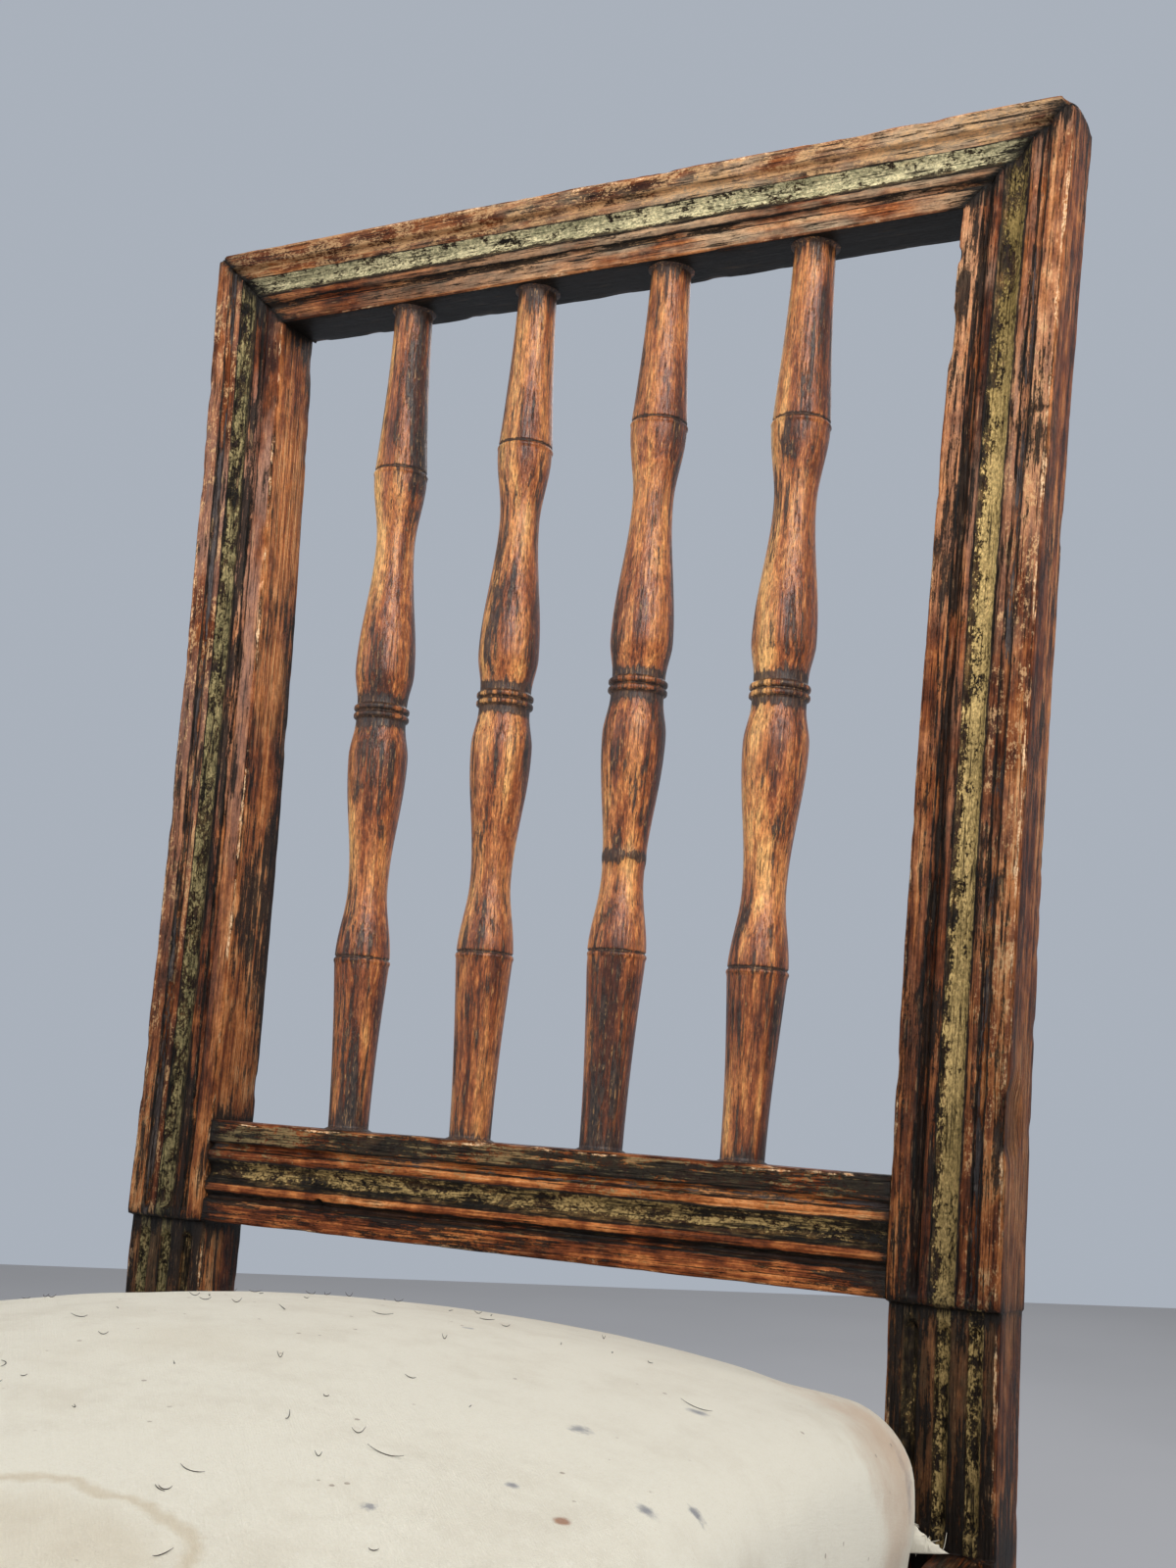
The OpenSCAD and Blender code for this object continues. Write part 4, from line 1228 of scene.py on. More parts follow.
        want = self.by_band(r, across, self.black) * moulded + (fluted - in_flute) * 0.2
        want = want + (1.0 - face) * self.sides + grime_and_shade * 0.30 + (0.5 - tone) * 0.55
        want = want - arris * 0.06 - gilt * 0.08
        spread = (streak - 0.5) * 1.5 + (cloud - 0.5) * 1.1 + (speck - 0.5) * 0.5
        soiled = (spread + want).step(0.10, 0.19)
        # In the outer groove the soot streaks into blue-grey: partly the paint's own colour and partly a
        # painted sheen.
        groove = across.band(-0.0125, -0.009, 0.0004) * moulded
        soot = r.mix(groove * streak.step(0.40, 0.6), self.soot, self.grey)
        colour = r.mix(soiled * 0.93, colour, soot)
        packed = self.quirks(r, across) * moulded * streak.step(0.32, 0.48)
        colour = r.mix(packed.step(0.2, 0.55, 0.93), colour, self.soot)

        outer = flat_across.step(-0.0165, -0.0195) * face
        rub = arris * (outer * self.edge + 0.44) + (streak - 0.5) * 1.15 + (flake - 0.5) * 0.8
        rub = rub - grime_and_shade * 0.6 + (tone - 0.5) * 0.2
        colour = r.mix(rub.step(0.36, 0.48, 0.92), colour, speck.ramp((0.4, self.honey), (0.56, self.rubbed)))
        raw = fibre.ramp((0.38, self.red), (0.5, self.honey), (0.62, self.pale))
        colour = r.mix(bare * streak.step(0.38, 0.5), colour, raw)
        split = crack.step(0.57, 0.63, 0.85)
        colour = r.mix(split, colour, self.soot)
        colour = r.mix(crack.step(0.42, 0.37, 0.45) * flake.step(0.48, 0.56), colour, self.tan)
        # Soot where dirt gathers, which under the step and the crest rail is also painted shade.
        colour = r.mix(grime_and_shade * flake.step(0.36, 0.5) * 0.9, colour, self.soot)
        mottle = flake.step(0.38, 0.62, 0.34) + speck.step(0.36, 0.62, 0.34) + 0.66
        # Painted shade with darker varnish and dirt: the colour runs from foot to head along the member.
        shade_and_dirt_along = along_share * (self.head - self.foot) + self.foot
        colour = r.mix(1.0, colour, mottle * shade_and_dirt_along, "MULTIPLY")

        height = fibre * 0.35 + streak * 0.6 + gilt * 0.5 + soiled * 0.3 + speck * 0.6 - split
        return r.finish(colour, speck * 0.25 + 0.30 + gilt * 0.08, r.relief(height, 0.0007), 0.15)


@dataclass(frozen=True)
class TurnedTimber:
    """Varnished turned birch: honey where hands wore it, red-brown elsewhere, black in every cut; darker on
    its right-hand side and at its lower end, partly as painted shade.
    """

    name: str
    shift: float
    light: float
    brown: Colour = (0.085, 0.020, 0.006)
    red: Colour = (0.32, 0.085, 0.022)
    orange: Colour = (0.60, 0.225, 0.065)
    honey: Colour = (0.92, 0.50, 0.17)
    black: Colour = (0.010, 0.008, 0.007)
    smoked: Colour = (0.06, 0.035, 0.022)
    low: float = 0.85

    def build(self) -> Material:
        """Mixes the tones by place along the spindle, then draws dark streaks along the grain.

        Returns:
            The material.
        """
        r = Recipe(self.name)
        place = r.kept("straight", "Vector")
        waist, dark, low_end = r.parts(r.kept("zones", "Vector"))
        side = r.parts(place)[0]
        fibre = r.noise(place, (1300, 16, 1300), 6, 0.62, self.shift)
        figure = r.noise(place, (130, 8, 130), 5, 0.6, self.shift + 4, 0.4)
        cloud = r.noise(place, (55, 15, 55), 4, 0.6, self.shift + 8)
        blotch = r.noise(place, (150, 32, 150), 5, 0.68, self.shift + 15)
        streak = r.noise(place, (480, 26, 480), 7, 0.68, self.shift + 12)
        pore = r.noise(place, (2000, 60, 2000), 4, 0.66, self.shift + 21)
        fleck = r.noise(place, (900, 260, 900), 5, 0.72, self.shift + 33)

        level = fibre * 0.55 + figure * 1.1 + cloud * 0.8 + blotch * 0.5 - (1.0 - self.light)
        # side is the spindle's own x: its right-hand side turns darker and redder, partly painted shade and
        # partly worn varnish.
        level = level + waist * 0.10 - low_end * 0.06 - side * 9.0
        colour = level.ramp((0.24, self.brown), (0.40, self.red), (0.57, self.orange), (0.78, self.honey))
        patch = (streak - 0.5) * 1.7 - (cloud - 0.5) * 1.1 + (fleck - 0.5) * 0.7 + dark * 0.48 - waist * 0.03
        streaked = patch.step(0.10, 0.17)
        colour = r.mix(streaked * 0.92, colour, fleck.ramp((0.42, self.black), (0.66, self.smoked)))
        fine = pore.step(0.555, 0.63, 0.8)
        colour = r.mix(fine, colour, self.brown)
        colour = r.mix(pore.step(0.43, 0.37, 0.4) * fleck.step(0.48, 0.58), colour, self.honey)
        # Darker at the lower end: partly painted shade and partly deeper varnish.
        mottle = (fleck.step(0.38, 0.62, 0.70) + 0.60) * (1.0 - low_end * (1.0 - self.low))
        colour = r.mix(1.0, colour, mottle, "MULTIPLY")
        height = fibre * 0.5 + streaked * 0.35 + fleck * 0.5 - fine * 0.3
        return r.finish(colour, fleck * 0.22 + 0.20 + streaked * 0.12, r.relief(height, 0.0004), 0.5)


@dataclass(frozen=True)
class BareWood:
    """Unpainted wood that has greyed and taken dirt, grained along one axis."""

    name: str
    along: int
    pale: Colour = (0.52, 0.36, 0.20)
    mid: Colour = (0.33, 0.20, 0.10)
    deep: Colour = (0.13, 0.075, 0.035)

    def build(self) -> Material:
        """Streaks drawn out along the grain, with dull clouds of dirt.

        Returns:
            The material.
        """
        r = Recipe(self.name)
        place = r.place()
        fine, broad = [900.0] * 3, [120.0] * 3
        fine[self.along], broad[self.along] = 20.0, 8.0
        fibre = r.noise(place, fine, 5, 0.6)
        figure = r.noise(place, broad, 4, 0.6, 5, 0.6)
        dirt = r.noise(place, (30, 30, 30), 5, 0.6, 11)
        colour = (fibre * 0.45 + figure * 0.55).ramp((0.3, self.deep), (0.5, self.mid), (0.7, self.pale))
        colour = r.mix(dirt.step(0.5, 0.75, 0.7), colour, self.deep)
        return r.finish(colour, fibre * 0.2 + 0.55, r.relief(fibre, 0.0004), 0.3)


@dataclass(frozen=True)
class RustyIron:
    """Old iron tacks and nails: dark scale with orange rust."""

    name: str = "rusty_iron"
    scale: Colour = (0.030, 0.026, 0.024)
    rust: Colour = (0.26, 0.085, 0.030)

    def build(self) -> Material:
        """Rust in clouds over dark scale.

        Returns:
            The material.
        """
        r = Recipe(self.name)
        place = r.place()
        cloud = r.noise(place, (420, 420, 420), 5, 0.65)
        pit = r.noise(place, (1500, 1500, 1500), 3, 0.6, 7)
        colour = r.mix(cloud.step(0.42, 0.62), self.scale, self.rust)
        return r.finish(colour, cloud * 0.4 + 0.45, r.relief(cloud + pit, 0.0003), Metallic=0.6)


@dataclass(frozen=True)
class PlainWeave:
    """Two sets of threads, over and under one another, on the cloth's own map."""

    recipe: Recipe
    pitch: float

    def flat(self) -> Value:
        """The place on the cut cloth, in metres."""
        return self.recipe.take("ShaderNodeUVMap", uv_map="cut")

    def height(self) -> Value:
        """Height of the weave: a product of two waves, one along each set of threads, wandering a little."""
        r, flat = self.recipe, self.flat()
        sway = (r.noise(flat, (900, 900, 900), 2, 0.5) - 0.5) * 2.2
        turn = 2 * math.pi / self.pitch
        across, along = (r.take("ShaderNodeMath", way * turn + sway, operation="SINE")
                         for way in r.parts(flat)[:2])
        return across * along * 0.25 + 0.5

    def slubs(self, fine: float, broad: float) -> tuple[Value, Value]:
        """Thick places in each set of threads, drawn out along it."""
        r, flat = self.recipe, self.flat()
        return r.noise(flat, (broad, fine, 1), 4, 0.6), r.noise(flat, (fine, broad, 1), 4, 0.6, 5)


@dataclass(frozen=True)
class WovenCloth:
    """Plain-woven jute or hessian seen close: threads, slubs and clouds of tone."""

    name: str
    pitch: float
    light: Colour
    dark: Colour
    depth: float = 0.0008
    rough: float = 0.85

    def build(self) -> Material:
        """Threads shaded in their hollows, with slubs along both ways.

        Returns:
            The material.
        """
        r = Recipe(self.name)
        cloth = PlainWeave(r, self.pitch)
        weave = cloth.height()
        slub, cross = cloth.slubs(700, 60)
        colour = (slub * 0.4 + cross * 0.4 + weave * 0.25).ramp((0.36, self.dark), (0.66, self.light))
        return r.finish(colour, self.rough, r.relief(weave + slub * 0.4, self.depth), 0.2, Sheen_Weight=0.2)


def rounded_path(corners: Sequence[tuple[float, float, float]], pitch: float) -> tuple[Array, Array]:
    """Walks round a closed outline with rounded corners.

    Each corner is an arc tangent to its two sides, and the straight stretches are filled at even steps.

    Args:
        corners: for each corner, its two coordinates and its radius.
        pitch: greatest step along a straight stretch.

    Returns:
        The points in order, and each one's distance to the nearest corner along the outline.
    """
    spots = np.array(corners, float)
    ends, arcs = [], []
    for k in range(len(spots)):
        before, here, after = spots[k - 1, :2], spots[k, :2], spots[(k + 1) % len(spots), :2]
        a, b = (before - here) / np.linalg.norm(before - here), (after - here) / np.linalg.norm(after - here)
        half = math.acos(float(np.clip(a @ b, -1, 1))) / 2
        reach = spots[k, 2] / math.tan(half)
        centre = here + (a + b) / np.linalg.norm(a + b) * spots[k, 2] / math.sin(half)
        steps = max(3, int(spots[k, 2] / 1.2))
        share = np.linspace(0, 1, steps)[:, None]
        spokes = (here + a * reach - centre) * (1 - share) + (here + b * reach - centre) * share
        arcs.append(centre + spokes / np.linalg.norm(spokes, axis=1, keepdims=True) * spots[k, 2])
        ends.append(0 * share[:, 0])
    points, away = [], []
    for k in range(len(spots)):
        points.append(arcs[k])
        away.append(ends[k])
        start, stop = arcs[k][-1], arcs[(k + 1) % len(spots)][0]
        length = float(np.linalg.norm(stop - start))
        share = spaced(0, 1, pitch / max(length, 1e-6))[1:-1, None]
        points.append(start * (1 - share) + stop * share)
        away.append(np.minimum(share[:, 0], 1 - share[:, 0]) * length)
    return np.concatenate(points), np.concatenate(away)


@dataclass
class SeatBase:
    """Seat rails and front legs: plain square timber with a rounded rim round the drop-in seat."""

    material: Material
    seed: int = 400
    pitch: float = 2.4
    station: float = 3.0
    arris: float = 1.6
    notch_r: float = 0.4
    leg_r: float = 1.8
    leg_top: float = 3.0
    foot_in: float = 0.8
    foot_h: float = 1.5

    def dress(self, name: str, node: str, grid: Array, place: Array, away: Array, seed: int) -> None:
        """Wears a plain member, then builds and dresses it.

        Args:
            name: the piece's name.
            node: the solid that it stands for.
            grid: its points.
            place: the same points straightened.
            away: each one's distance to the nearest arris.
            seed: starts its wear.
        """
        s, z = SIZES, grid[..., 2]
        under = ease(z, s.rail_bottom + 6, s.rail_bottom - 1) * (z > s.rail_bottom - 3)
        top = ease(z, s.seat_h - 14, s.seat_h - 2)
        tone = 0.46 - 0.12 * top - 0.1 * under
        wear = Wear(seed, chip=0.8, swell=0.25, furrow=0.14, flake=0.0)
        grid, values = wear.apply(grid, place, 0 * tone, away, 0.35 * top, tone)
        place_piece(closed_bar(name, grid).build(values), self.material, "rail_wood", node)

    def rail(self, where: str, corners: Sequence[tuple[float, float, float]], run: Array,
             spot: Callable[[Array, Array], tuple[Array, Array]], seed: int) -> None:
        """Sweeps a rail's section along its run.

        Args:
            where: the rail's side of the seat.
            corners: the section's corners: how far in, how high and how round each is.
            run: places along the rail.
            spot: gives x and y for a place along the rail and a distance in.
            seed: starts its wear.
        """
        path, away = rounded_path(corners, self.pitch)
        run = run[:, None]
        grid = joined(*spot(run, path[:, 0]), path[:, 1])
        place = joined(path[:, 0], run, path[:, 1])
        self.dress(f"{where}_rail", f"{where}_seat_rail", grid, place, away, seed)

    def rimmed(self) -> list[tuple[float, float, float]]:
        """Corners of a rail with a rounded rim, a rebate and a ledge: how far in, how high, how round."""
        s, r = SIZES, self.arris
        return [(0, s.rail_bottom, r), (0, s.seat_h, s.rim_r), (s.rim_w, s.seat_h, r),
                (s.rim_w, s.ledge_z, self.notch_r), (s.rail_t, s.ledge_z, r), (s.rail_t, s.rail_bottom, r)]

    def front_rail(self) -> None:
        """The front rail, between the front legs."""
        s = SIZES
        half = s.front_w / 2 - s.leg_w
        self.rail("front", self.rimmed(), spaced(-half, half, self.station),
                  lambda run, inwards: (run, -s.seat_d + s.setback + inwards), self.seed)

    def back_rail(self) -> None:
        """The back rail, between the back posts, with its ledge towards the seat."""
        s, r = SIZES, self.arris
        deep = s.low_d + 2 * s.seat_gap
        back = deep + s.rail_t - s.rim_w
        corners = [(0, s.rail_bottom, r), (0, s.seat_h, 3.0), (deep, s.seat_h, r),
                   (deep, s.ledge_z, self.notch_r), (back, s.ledge_z, 1.2), (back, s.rail_bottom, r)]
        half = s.half_w - s.post_w + s.side_in
        self.rail("back", corners, spaced(-half, half, self.station),
                  lambda run, inwards: (run, s.low_d - inwards), self.seed + 11)

    def side_rail(self, hand: Hand) -> None:
        """A side rail, from the back post to the front leg along the seat's spreading side."""
        s = SIZES
        self.rail(hand.name.lower(), self.rimmed(), spaced(0.4, -s.seat_d + s.leg_w, self.station),
                  lambda run, inwards: (hand.value * s.side_x(run, s.setback + inwards), run),
                  self.seed + 23 * (2 + hand.value))

    def front_leg(self, hand: Hand) -> None:
        """A front leg: square, tapered on its inner sides, its inner top corner cut away for the seat.

        Each section is an L whose inner corner moves out to the square's corner below the ledge.

        Args:
            hand: the leg's side.
        """
        s, h = SIZES, self.leg_top
        z = np.concatenate([
            [0, 0.6, self.foot_h], spaced(3, s.rail_bottom, 5.0),
            spaced(s.rail_bottom + 3, s.ledge_z - 1, 3.0),
            s.ledge_z + np.array([-0.4, -0.1, 0.1, 0.5]), spaced(s.ledge_z + 2, s.seat_h - h - 0.2, 2.0),
            s.seat_h - h + h * np.sin(np.radians([0, 22, 45, 67, 90])),
        ])
        width = s.front_foot_w + (s.leg_w - s.front_foot_w) * np.clip(z / s.rail_bottom, 0, 1)
        round_in = h * (1 - np.sqrt(np.clip(1 - np.square(np.clip((z - s.seat_h + h) / h, 0, 1)), 0, 1)))
        foot_in = self.foot_in * np.square(np.clip(1 - z / self.foot_h, 0, 1))
        cut = ease(z, s.ledge_z - 0.15, s.ledge_z + 0.15)
        low, high = round_in + foot_in, width - foot_in
        notch = np.minimum(width + (s.setback + s.rim_w - width) * cut, high)
        spots = [(low, low), (low, high), (notch, high), (notch, notch), (high, notch), (high, low)]
        spots = [np.stack(spot, -1)[:, None] for spot in spots]
        side = np.linspace(0, 1, 15)[:-1, None]
        plan = np.concatenate([a + (b - a) * side for a, b in zip(spots, spots[1:] + spots[:1])], axis=1)
        low, high = low[:, None], high[:, None]
        arris = np.maximum(*(np.minimum(np.abs(plan[..., k] - low), np.abs(plan[..., k] - high))
                             for k in (0, 1)))
        plan = self.soften(plan, low, high)
        grid = joined(hand.value * (s.front_w / 2 - plan[..., 0]), -s.seat_d + plan[..., 1], z[:, None])
        name = f"front_leg_{hand.name.lower()}"
        self.dress(f"{name}_wood", name, grid, joined(plan[..., 0], z[:, None], plan[..., 1]), arris,
                   self.seed + 57 * (3 + hand.value))

    def soften(self, plan: Array, low: Array, high: Array) -> Array:
        """Rounds the corners of a square plan by drawing points in to a corner radius.

        Args:
            plan: the two coordinates of each point, by section.
            low: the square's lesser edges in each section.
            high: its greater edges.

        Returns:
            The plan with round corners.
        """
        soft, r = plan.copy(), self.leg_r
        ways = ((1, low + r), (-1, high - r))
        for way_x, centre_x in ways:
            for way_y, centre_y in ways:
                dx, dy = (centre_x - soft[..., 0]) * way_x, (centre_y - soft[..., 1]) * way_y
                pull = past(np.hypot(dx, dy), r) * ((dx > 0) & (dy > 0))
                soft[..., 0] += pull * dx * way_x
                soft[..., 1] += pull * dy * way_y
        return soft

    def build(self) -> None:
        """Builds the four rails and the two front legs."""
        self.front_rail()
        self.back_rail()
        for hand in Hand:
            self.side_rail(hand)
            self.front_leg(hand)


@dataclass(frozen=True)
class Stain:
    """A stain on the calico, in millimetres in the working frame, with a darker rim if it has a ring."""

    centre: tuple[float, float, float]
    radius: float
    colour: Colour
    strength: float
    soft: float = 0.5
    ring: float = 0.0
    sway: float = 2.2
    squash: float = 0.35

    def share(self, r: Recipe, place: Value, shift: float) -> Value:
        """How strongly the stain shows at each place.

        Distances are measured with heights squashed, so that a cushion a few millimetres higher is stained
        alike, and they wander so that the edge is ragged.

        Args:
            r: the calico's recipe.
            place: the place on the cushion.
            shift: what moves the edge's wandering, other for each stain.

        Returns:
            0 outside the stain, up to its strength.
        """
        x, y, z = self.centre
        centre = (x * MM, (y + SIZES.shift_y) * MM, z * MM * self.squash)
        radius, ring = self.radius * MM, self.ring * MM
        plan = r.stretched(place, (1, 1, self.squash))
        away = r.take("ShaderNodeVectorMath", plan, centre, out="Value", operation="DISTANCE")
        wobble = r.noise(place, (0.9 / radius,) * 3, 5, 0.65, shift)
        far = away + (wobble - 0.5) * (self.sway * radius)
        if not self.ring:
            return far.step(radius, radius * (1 - self.soft), self.strength)
        inside = far.step(radius, radius * 0.6, 0.35)
        return far.band(radius - ring, radius, ring).greatest(inside) * self.strength


GREY, RUST, TEA = (0.22, 0.23, 0.27), (0.36, 0.14, 0.05), (0.62, 0.50, 0.31)
STAINS = (
    Stain((152, -140, 458.5), 4.2, GREY, 0.9, 0.9, sway=1.2),
    Stain((144, -198, 462), 4.4, GREY, 0.85, 0.9),
    Stain((154, -249, 460), 2.4, GREY, 0.85, 0.9, sway=1.2),
    Stain((139, -288, 460.5), 2.6, GREY, 0.8, 0.9),
    Stain((181, -229, 455), 3.4, GREY, 0.9, 0.9, sway=1.2),
    Stain((186, -211, 451), 3.0, GREY, 0.9, 0.9),
    Stain((172, -256, 456.5), 3.1, RUST, 0.9, 0.6, sway=0.8),
    Stain((178, -36, 430), 6.2, GREY, 0.85, 1.0),
    Stain((180, -34, 417), 4.6, GREY, 0.6, 0.9),
    Stain((61, -123, 468), 2.6, GREY, 0.6, 0.9),
    Stain((173, -41, 439), 34, (0.62, 0.40, 0.25), 0.6, 1.0),
    Stain((181, -50, 410), 30, (0.62, 0.42, 0.27), 0.5, 1.0),
    Stain((98, -365, 458), 45, TEA, 0.75, ring=3, sway=0.8),
    Stain((-60, -300, 468), 40, TEA, 0.18),
    Stain((-110, -120, 462), 3, GREY, 0.6, 0.9),
    Stain((20, -215, 473), 50, TEA, 0.16, 0.9),
    Stain((-120, -330, 458), 60, TEA, 0.3, ring=3, sway=0.8),
)


@dataclass(frozen=True)
class AgedCalico:
    """Unbleached calico gone cream and grey, with stains, flecks and tide marks."""

    name: str = "aged_calico"
    clean: Colour = (0.93, 0.895, 0.76)
    dull: Colour = (0.79, 0.735, 0.60)
    fleck: Colour = (0.30, 0.22, 0.15)
    lint: Colour = (0.97, 0.95, 0.87)
    pitch: float = 0.0011

    def build(self) -> Material:
        """Weave and fluff on the cloth's own map, then stains by place on the seat.

        Returns:
            The material.
        """
        r = Recipe(self.name)
        place, cloth = r.place(), PlainWeave(r, self.pitch)
        slub, cross = cloth.slubs(900, 90)
        cloud = r.noise(place, (17, 17, 17), 5, 0.6)
        blotch = r.noise(place, (70, 70, 70), 5, 0.65, 4)
        fluff = r.noise(place, (600, 600, 600), 4, 0.7, 9)
        felt = r.noise(place, (1500, 1500, 1500), 5, 0.8, 15, 1.5)
        threads = slub * 0.5 + cross * 0.5
        colour = r.mix((cloud * 0.55 + blotch * 0.45).step(0.44, 0.68, 0.75), self.clean, self.dull)
        colour = r.mix(threads.step(0.5, 0.7, 0.22), colour, self.dull)
        colour = r.mix(felt.step(0.52, 0.64, 0.6), colour, self.dull)
        colour = r.mix(felt.step(0.47, 0.36, 0.7), colour, self.lint)
        for k, stain in enumerate(STAINS):
            colour = r.mix(stain.share(r, place, 13 + k), colour, stain.colour)
        spots = r.tune(r.add("ShaderNodeTexVoronoi", r.stretched(place, (95, 95, 95), 2)), {"Scale": 1.0})
        colour = r.mix(spots.step(0.085, 0.055) * blotch.step(0.50, 0.56, 0.7), colour, self.fleck)
        height = cloth.height() * 0.5 + threads * 0.7 + fluff * 0.5 + felt * 1.2
        return r.finish(colour, fluff * 0.12 + 0.80, r.relief(height, 0.00045), 0.15,
                        Sheen_Weight=0.25, Sheen_Roughness=0.6)


@dataclass
class DropInSeat:
    """The drop-in seat's soft parts: stuffed calico, its torn corner, hairs, webbing and hessian."""

    cloth_in: float = 23.5
    cloth_back: float = 4.5
    wood_in: float = 24.8
    wood_back: float = 5.8
    corner_r: float = 26.0
    edge_r: float = 20.3
    bulge: float = 2.4
    rise: float = 83.5
    fall: tuple[float, float] = (24.0, 21.5)
    high_x: float = 9.0
    turn_under: float = 30.0
    steps: int = 64
    cloth_t: float = 0.9
    start_low: float = 1.0
    most_move: float = 2.4
    frames: int = 20
    flap: tuple[tuple[float, float], ...] = ((171.0, -14.5), (167.5, -12.5), (184.0, -3.5))
    flap_z: tuple[float, float, float] = (22.0, 1.0, 1.2)
    flap_cut: tuple[float, float] = (16.0, 24.0)
    web_w: float = 50.0
    web_t: float = 1.5

    def plan(self, u: Array, v: Array, inset: float, r: float) -> tuple[Array, Array]:
        """Maps a square from -1 to 1 both ways on to the seat's plan, with rounded corners.

        Rows run evenly from back to front and each is as wide as the seat there. In a corner square of
        side r, each coordinate is shortened by the root of 1 less half the other's square, which bends the
        square's outer sides on to a circle.

        Args:
            u: share across, from -1 to 1.
            v: share from front to back, from -1 to 1.
            inset: how far in from the cloth's line.
            r: radius of the corners.

        Returns:
            The x and y of each point.
        """
        s = SIZES
        front, back = -s.seat_d + self.cloth_in + inset, -self.cloth_back - inset
        y = front + (back - front) * (v + 1) / 2
        half = s.side_x(y, self.cloth_in + inset)
        x = u * half
        dx = (np.abs(x) - (half - r)) / r
        middle, reach = (front + back) / 2, (back - front) / 2
        dy = (np.abs(y - middle) - (reach - r)) / r
        bent = (dx > 0) & (dy > 0)
        ex, ey = np.clip(dx, 0, 1), np.clip(dy, 0, 1)
        nx, ny = ex * np.sqrt(1 - ey**2 / 2), ey * np.sqrt(1 - ex**2 / 2)
        x = np.where(bent, np.sign(x) * (half - r + nx * r), x)
        y = np.where(bent, middle + np.sign(y - middle) * (reach - r + ny * r), y)
        return x, y

    def dome(self, x: Array, y: Array, drop: float) -> Array:
        """Height of the crown: it falls with the squared distance each way from a point off the centre."""
        s = SIZES
        sideways = self.fall[0] * np.square((x - self.high_x) / (s.back_w / 2))
        lengthways = self.fall[1] * np.square(y / (s.seat_d / 2) + 1)
        return s.seat_h + self.rise - drop - sideways - lengthways

    def shell(self) -> tuple[Array, Array, list, Array, Array]:
        """The calico before it swells: a domed top grid, a rounded edge, upright sides and a margin.

        Returns:
            Points, flat map, faces, 1 for each point that the tacks hold, and the top grid's point numbers.
        """
        s, n = SIZES, self.steps
        line = np.linspace(-1, 1, n + 1)
        v, u = np.meshgrid(line, line, indexing="ij")
        x, y = self.plan(u, v, self.edge_r - self.bulge, self.corner_r - self.edge_r)
        top = joined(x, y, self.dome(x, y, self.start_low)).reshape(-1, 3)
        number = np.arange((n + 1) ** 2).reshape(n + 1, n + 1)
        border = np.concatenate([number[0, :-1], number[:-1, -1], number[-1, :0:-1], number[:0:-1, 0]])
        bu, bv = u.ravel()[border], v.ravel()[border]
        turn = np.radians([15, 32, 50, 68, 84])
        r = self.edge_r
        rows = [(r * (1 - math.sin(t)) - self.bulge, r * (1 - math.cos(t)), None) for t in turn]
        rows += [(0.2 - self.bulge * out, 0.0, s.seat_h + up) for up, out in ((20, 1.0), (12, 0.8), (5, 0.3))]
        rows += [(0.2, 0.0, z) for z in (s.seat_h, s.seat_h - 6, s.ledge_z + 3.0, s.ledge_z + 1.2)]
        rows += [(inset, 0.0, s.ledge_z + 0.35) for inset in (1.5, 8.0, 16.0, 23.0, self.turn_under)]
        rings, held, flat = [], [], []
        bx, by = self.plan(bu, bv, 0.0, self.corner_r)
        outward = unit(np.stack([bx, by + s.seat_d / 2], -1))
        last, run = top[border], np.zeros(len(border))
        for inset, drop, z in rows:
            px, py = self.plan(bu, bv, inset, max(self.corner_r - inset, 4.0))
            level = self.dome(px, py, self.start_low) - drop if z is None else z + 0 * px
            ring = joined(px, py, level)
            run = run + np.linalg.norm(ring - last, axis=1)
            flat.append(top[border][:, :2] + outward * run[:, None])
            last = ring
            rings.append(ring)
            held.append(np.full(len(border), 0.0 if z is None or z > s.seat_h + 6 else 1.0))
        points = np.concatenate([top, *rings])
        uv = np.concatenate([top[:, :2], *flat])
        hold = np.concatenate([np.zeros(len(top)), *held])
        lower = len(top) + np.arange(len(rings) * len(border)).reshape(len(rings), -1)
        loops = np.concatenate([border[None], lower])
        after = np.roll(loops, -1, axis=1)
        skirt = np.stack([loops[:-1], loops[1:], after[1:], after[:-1]], -1).reshape(-1, 4)
        faces = np.concatenate([quads(n + 1, n + 1, False), skirt]).tolist()
        return points, uv, faces, hold, number

    def swell(self, points: Array, faces: list, hold: Array) -> Array:
        """Blows the cloth up against its tacked edge with a cloth simulation, and evens out how far it moves.

        Args:
            points: the cloth before, in the working frame.
            faces: its faces.
            hold: 1 for each point that stays.

        Returns:
            The points after: all moves are scaled together, down to a greatest of a few millimetres.
        """
        made = Piece("swelling_cloth", points, faces).build()
        group = made.vertex_groups.new(name="held")
        group.add(np.flatnonzero(hold > 0.5).tolist(), 1.0, "REPLACE")
        cloth = made.modifiers.new("cloth", "CLOTH")
        stuffed = {"vertex_group_mass": "held", "use_pressure": True, "uniform_pressure_force": 4.0,
                   "tension_stiffness": 25.0, "compression_stiffness": 25.0, "bending_stiffness": 1.5,
                   "quality": 6}
        for name, value in stuffed.items():
            setattr(cloth.settings, name, value)
        cloth.settings.effector_weights.gravity = 0.0
        cloth.collision_settings.use_collision = False
        cloth.point_cache.frame_start, cloth.point_cache.frame_end = 1, self.frames
        scene = bpy.context.scene
        for frame in range(1, self.frames + 1):
            scene.frame_set(frame)
        posed = made.evaluated_get(bpy.context.evaluated_depsgraph_get())
        after = np.zeros(len(points) * 3)
        posed.data.vertices.foreach_get("co", after)
        scene.frame_set(1)
        bpy.data.objects.remove(made)
        after = after.reshape(-1, 3) / MM - np.array([0, SIZES.shift_y, 0])
        move = after - points
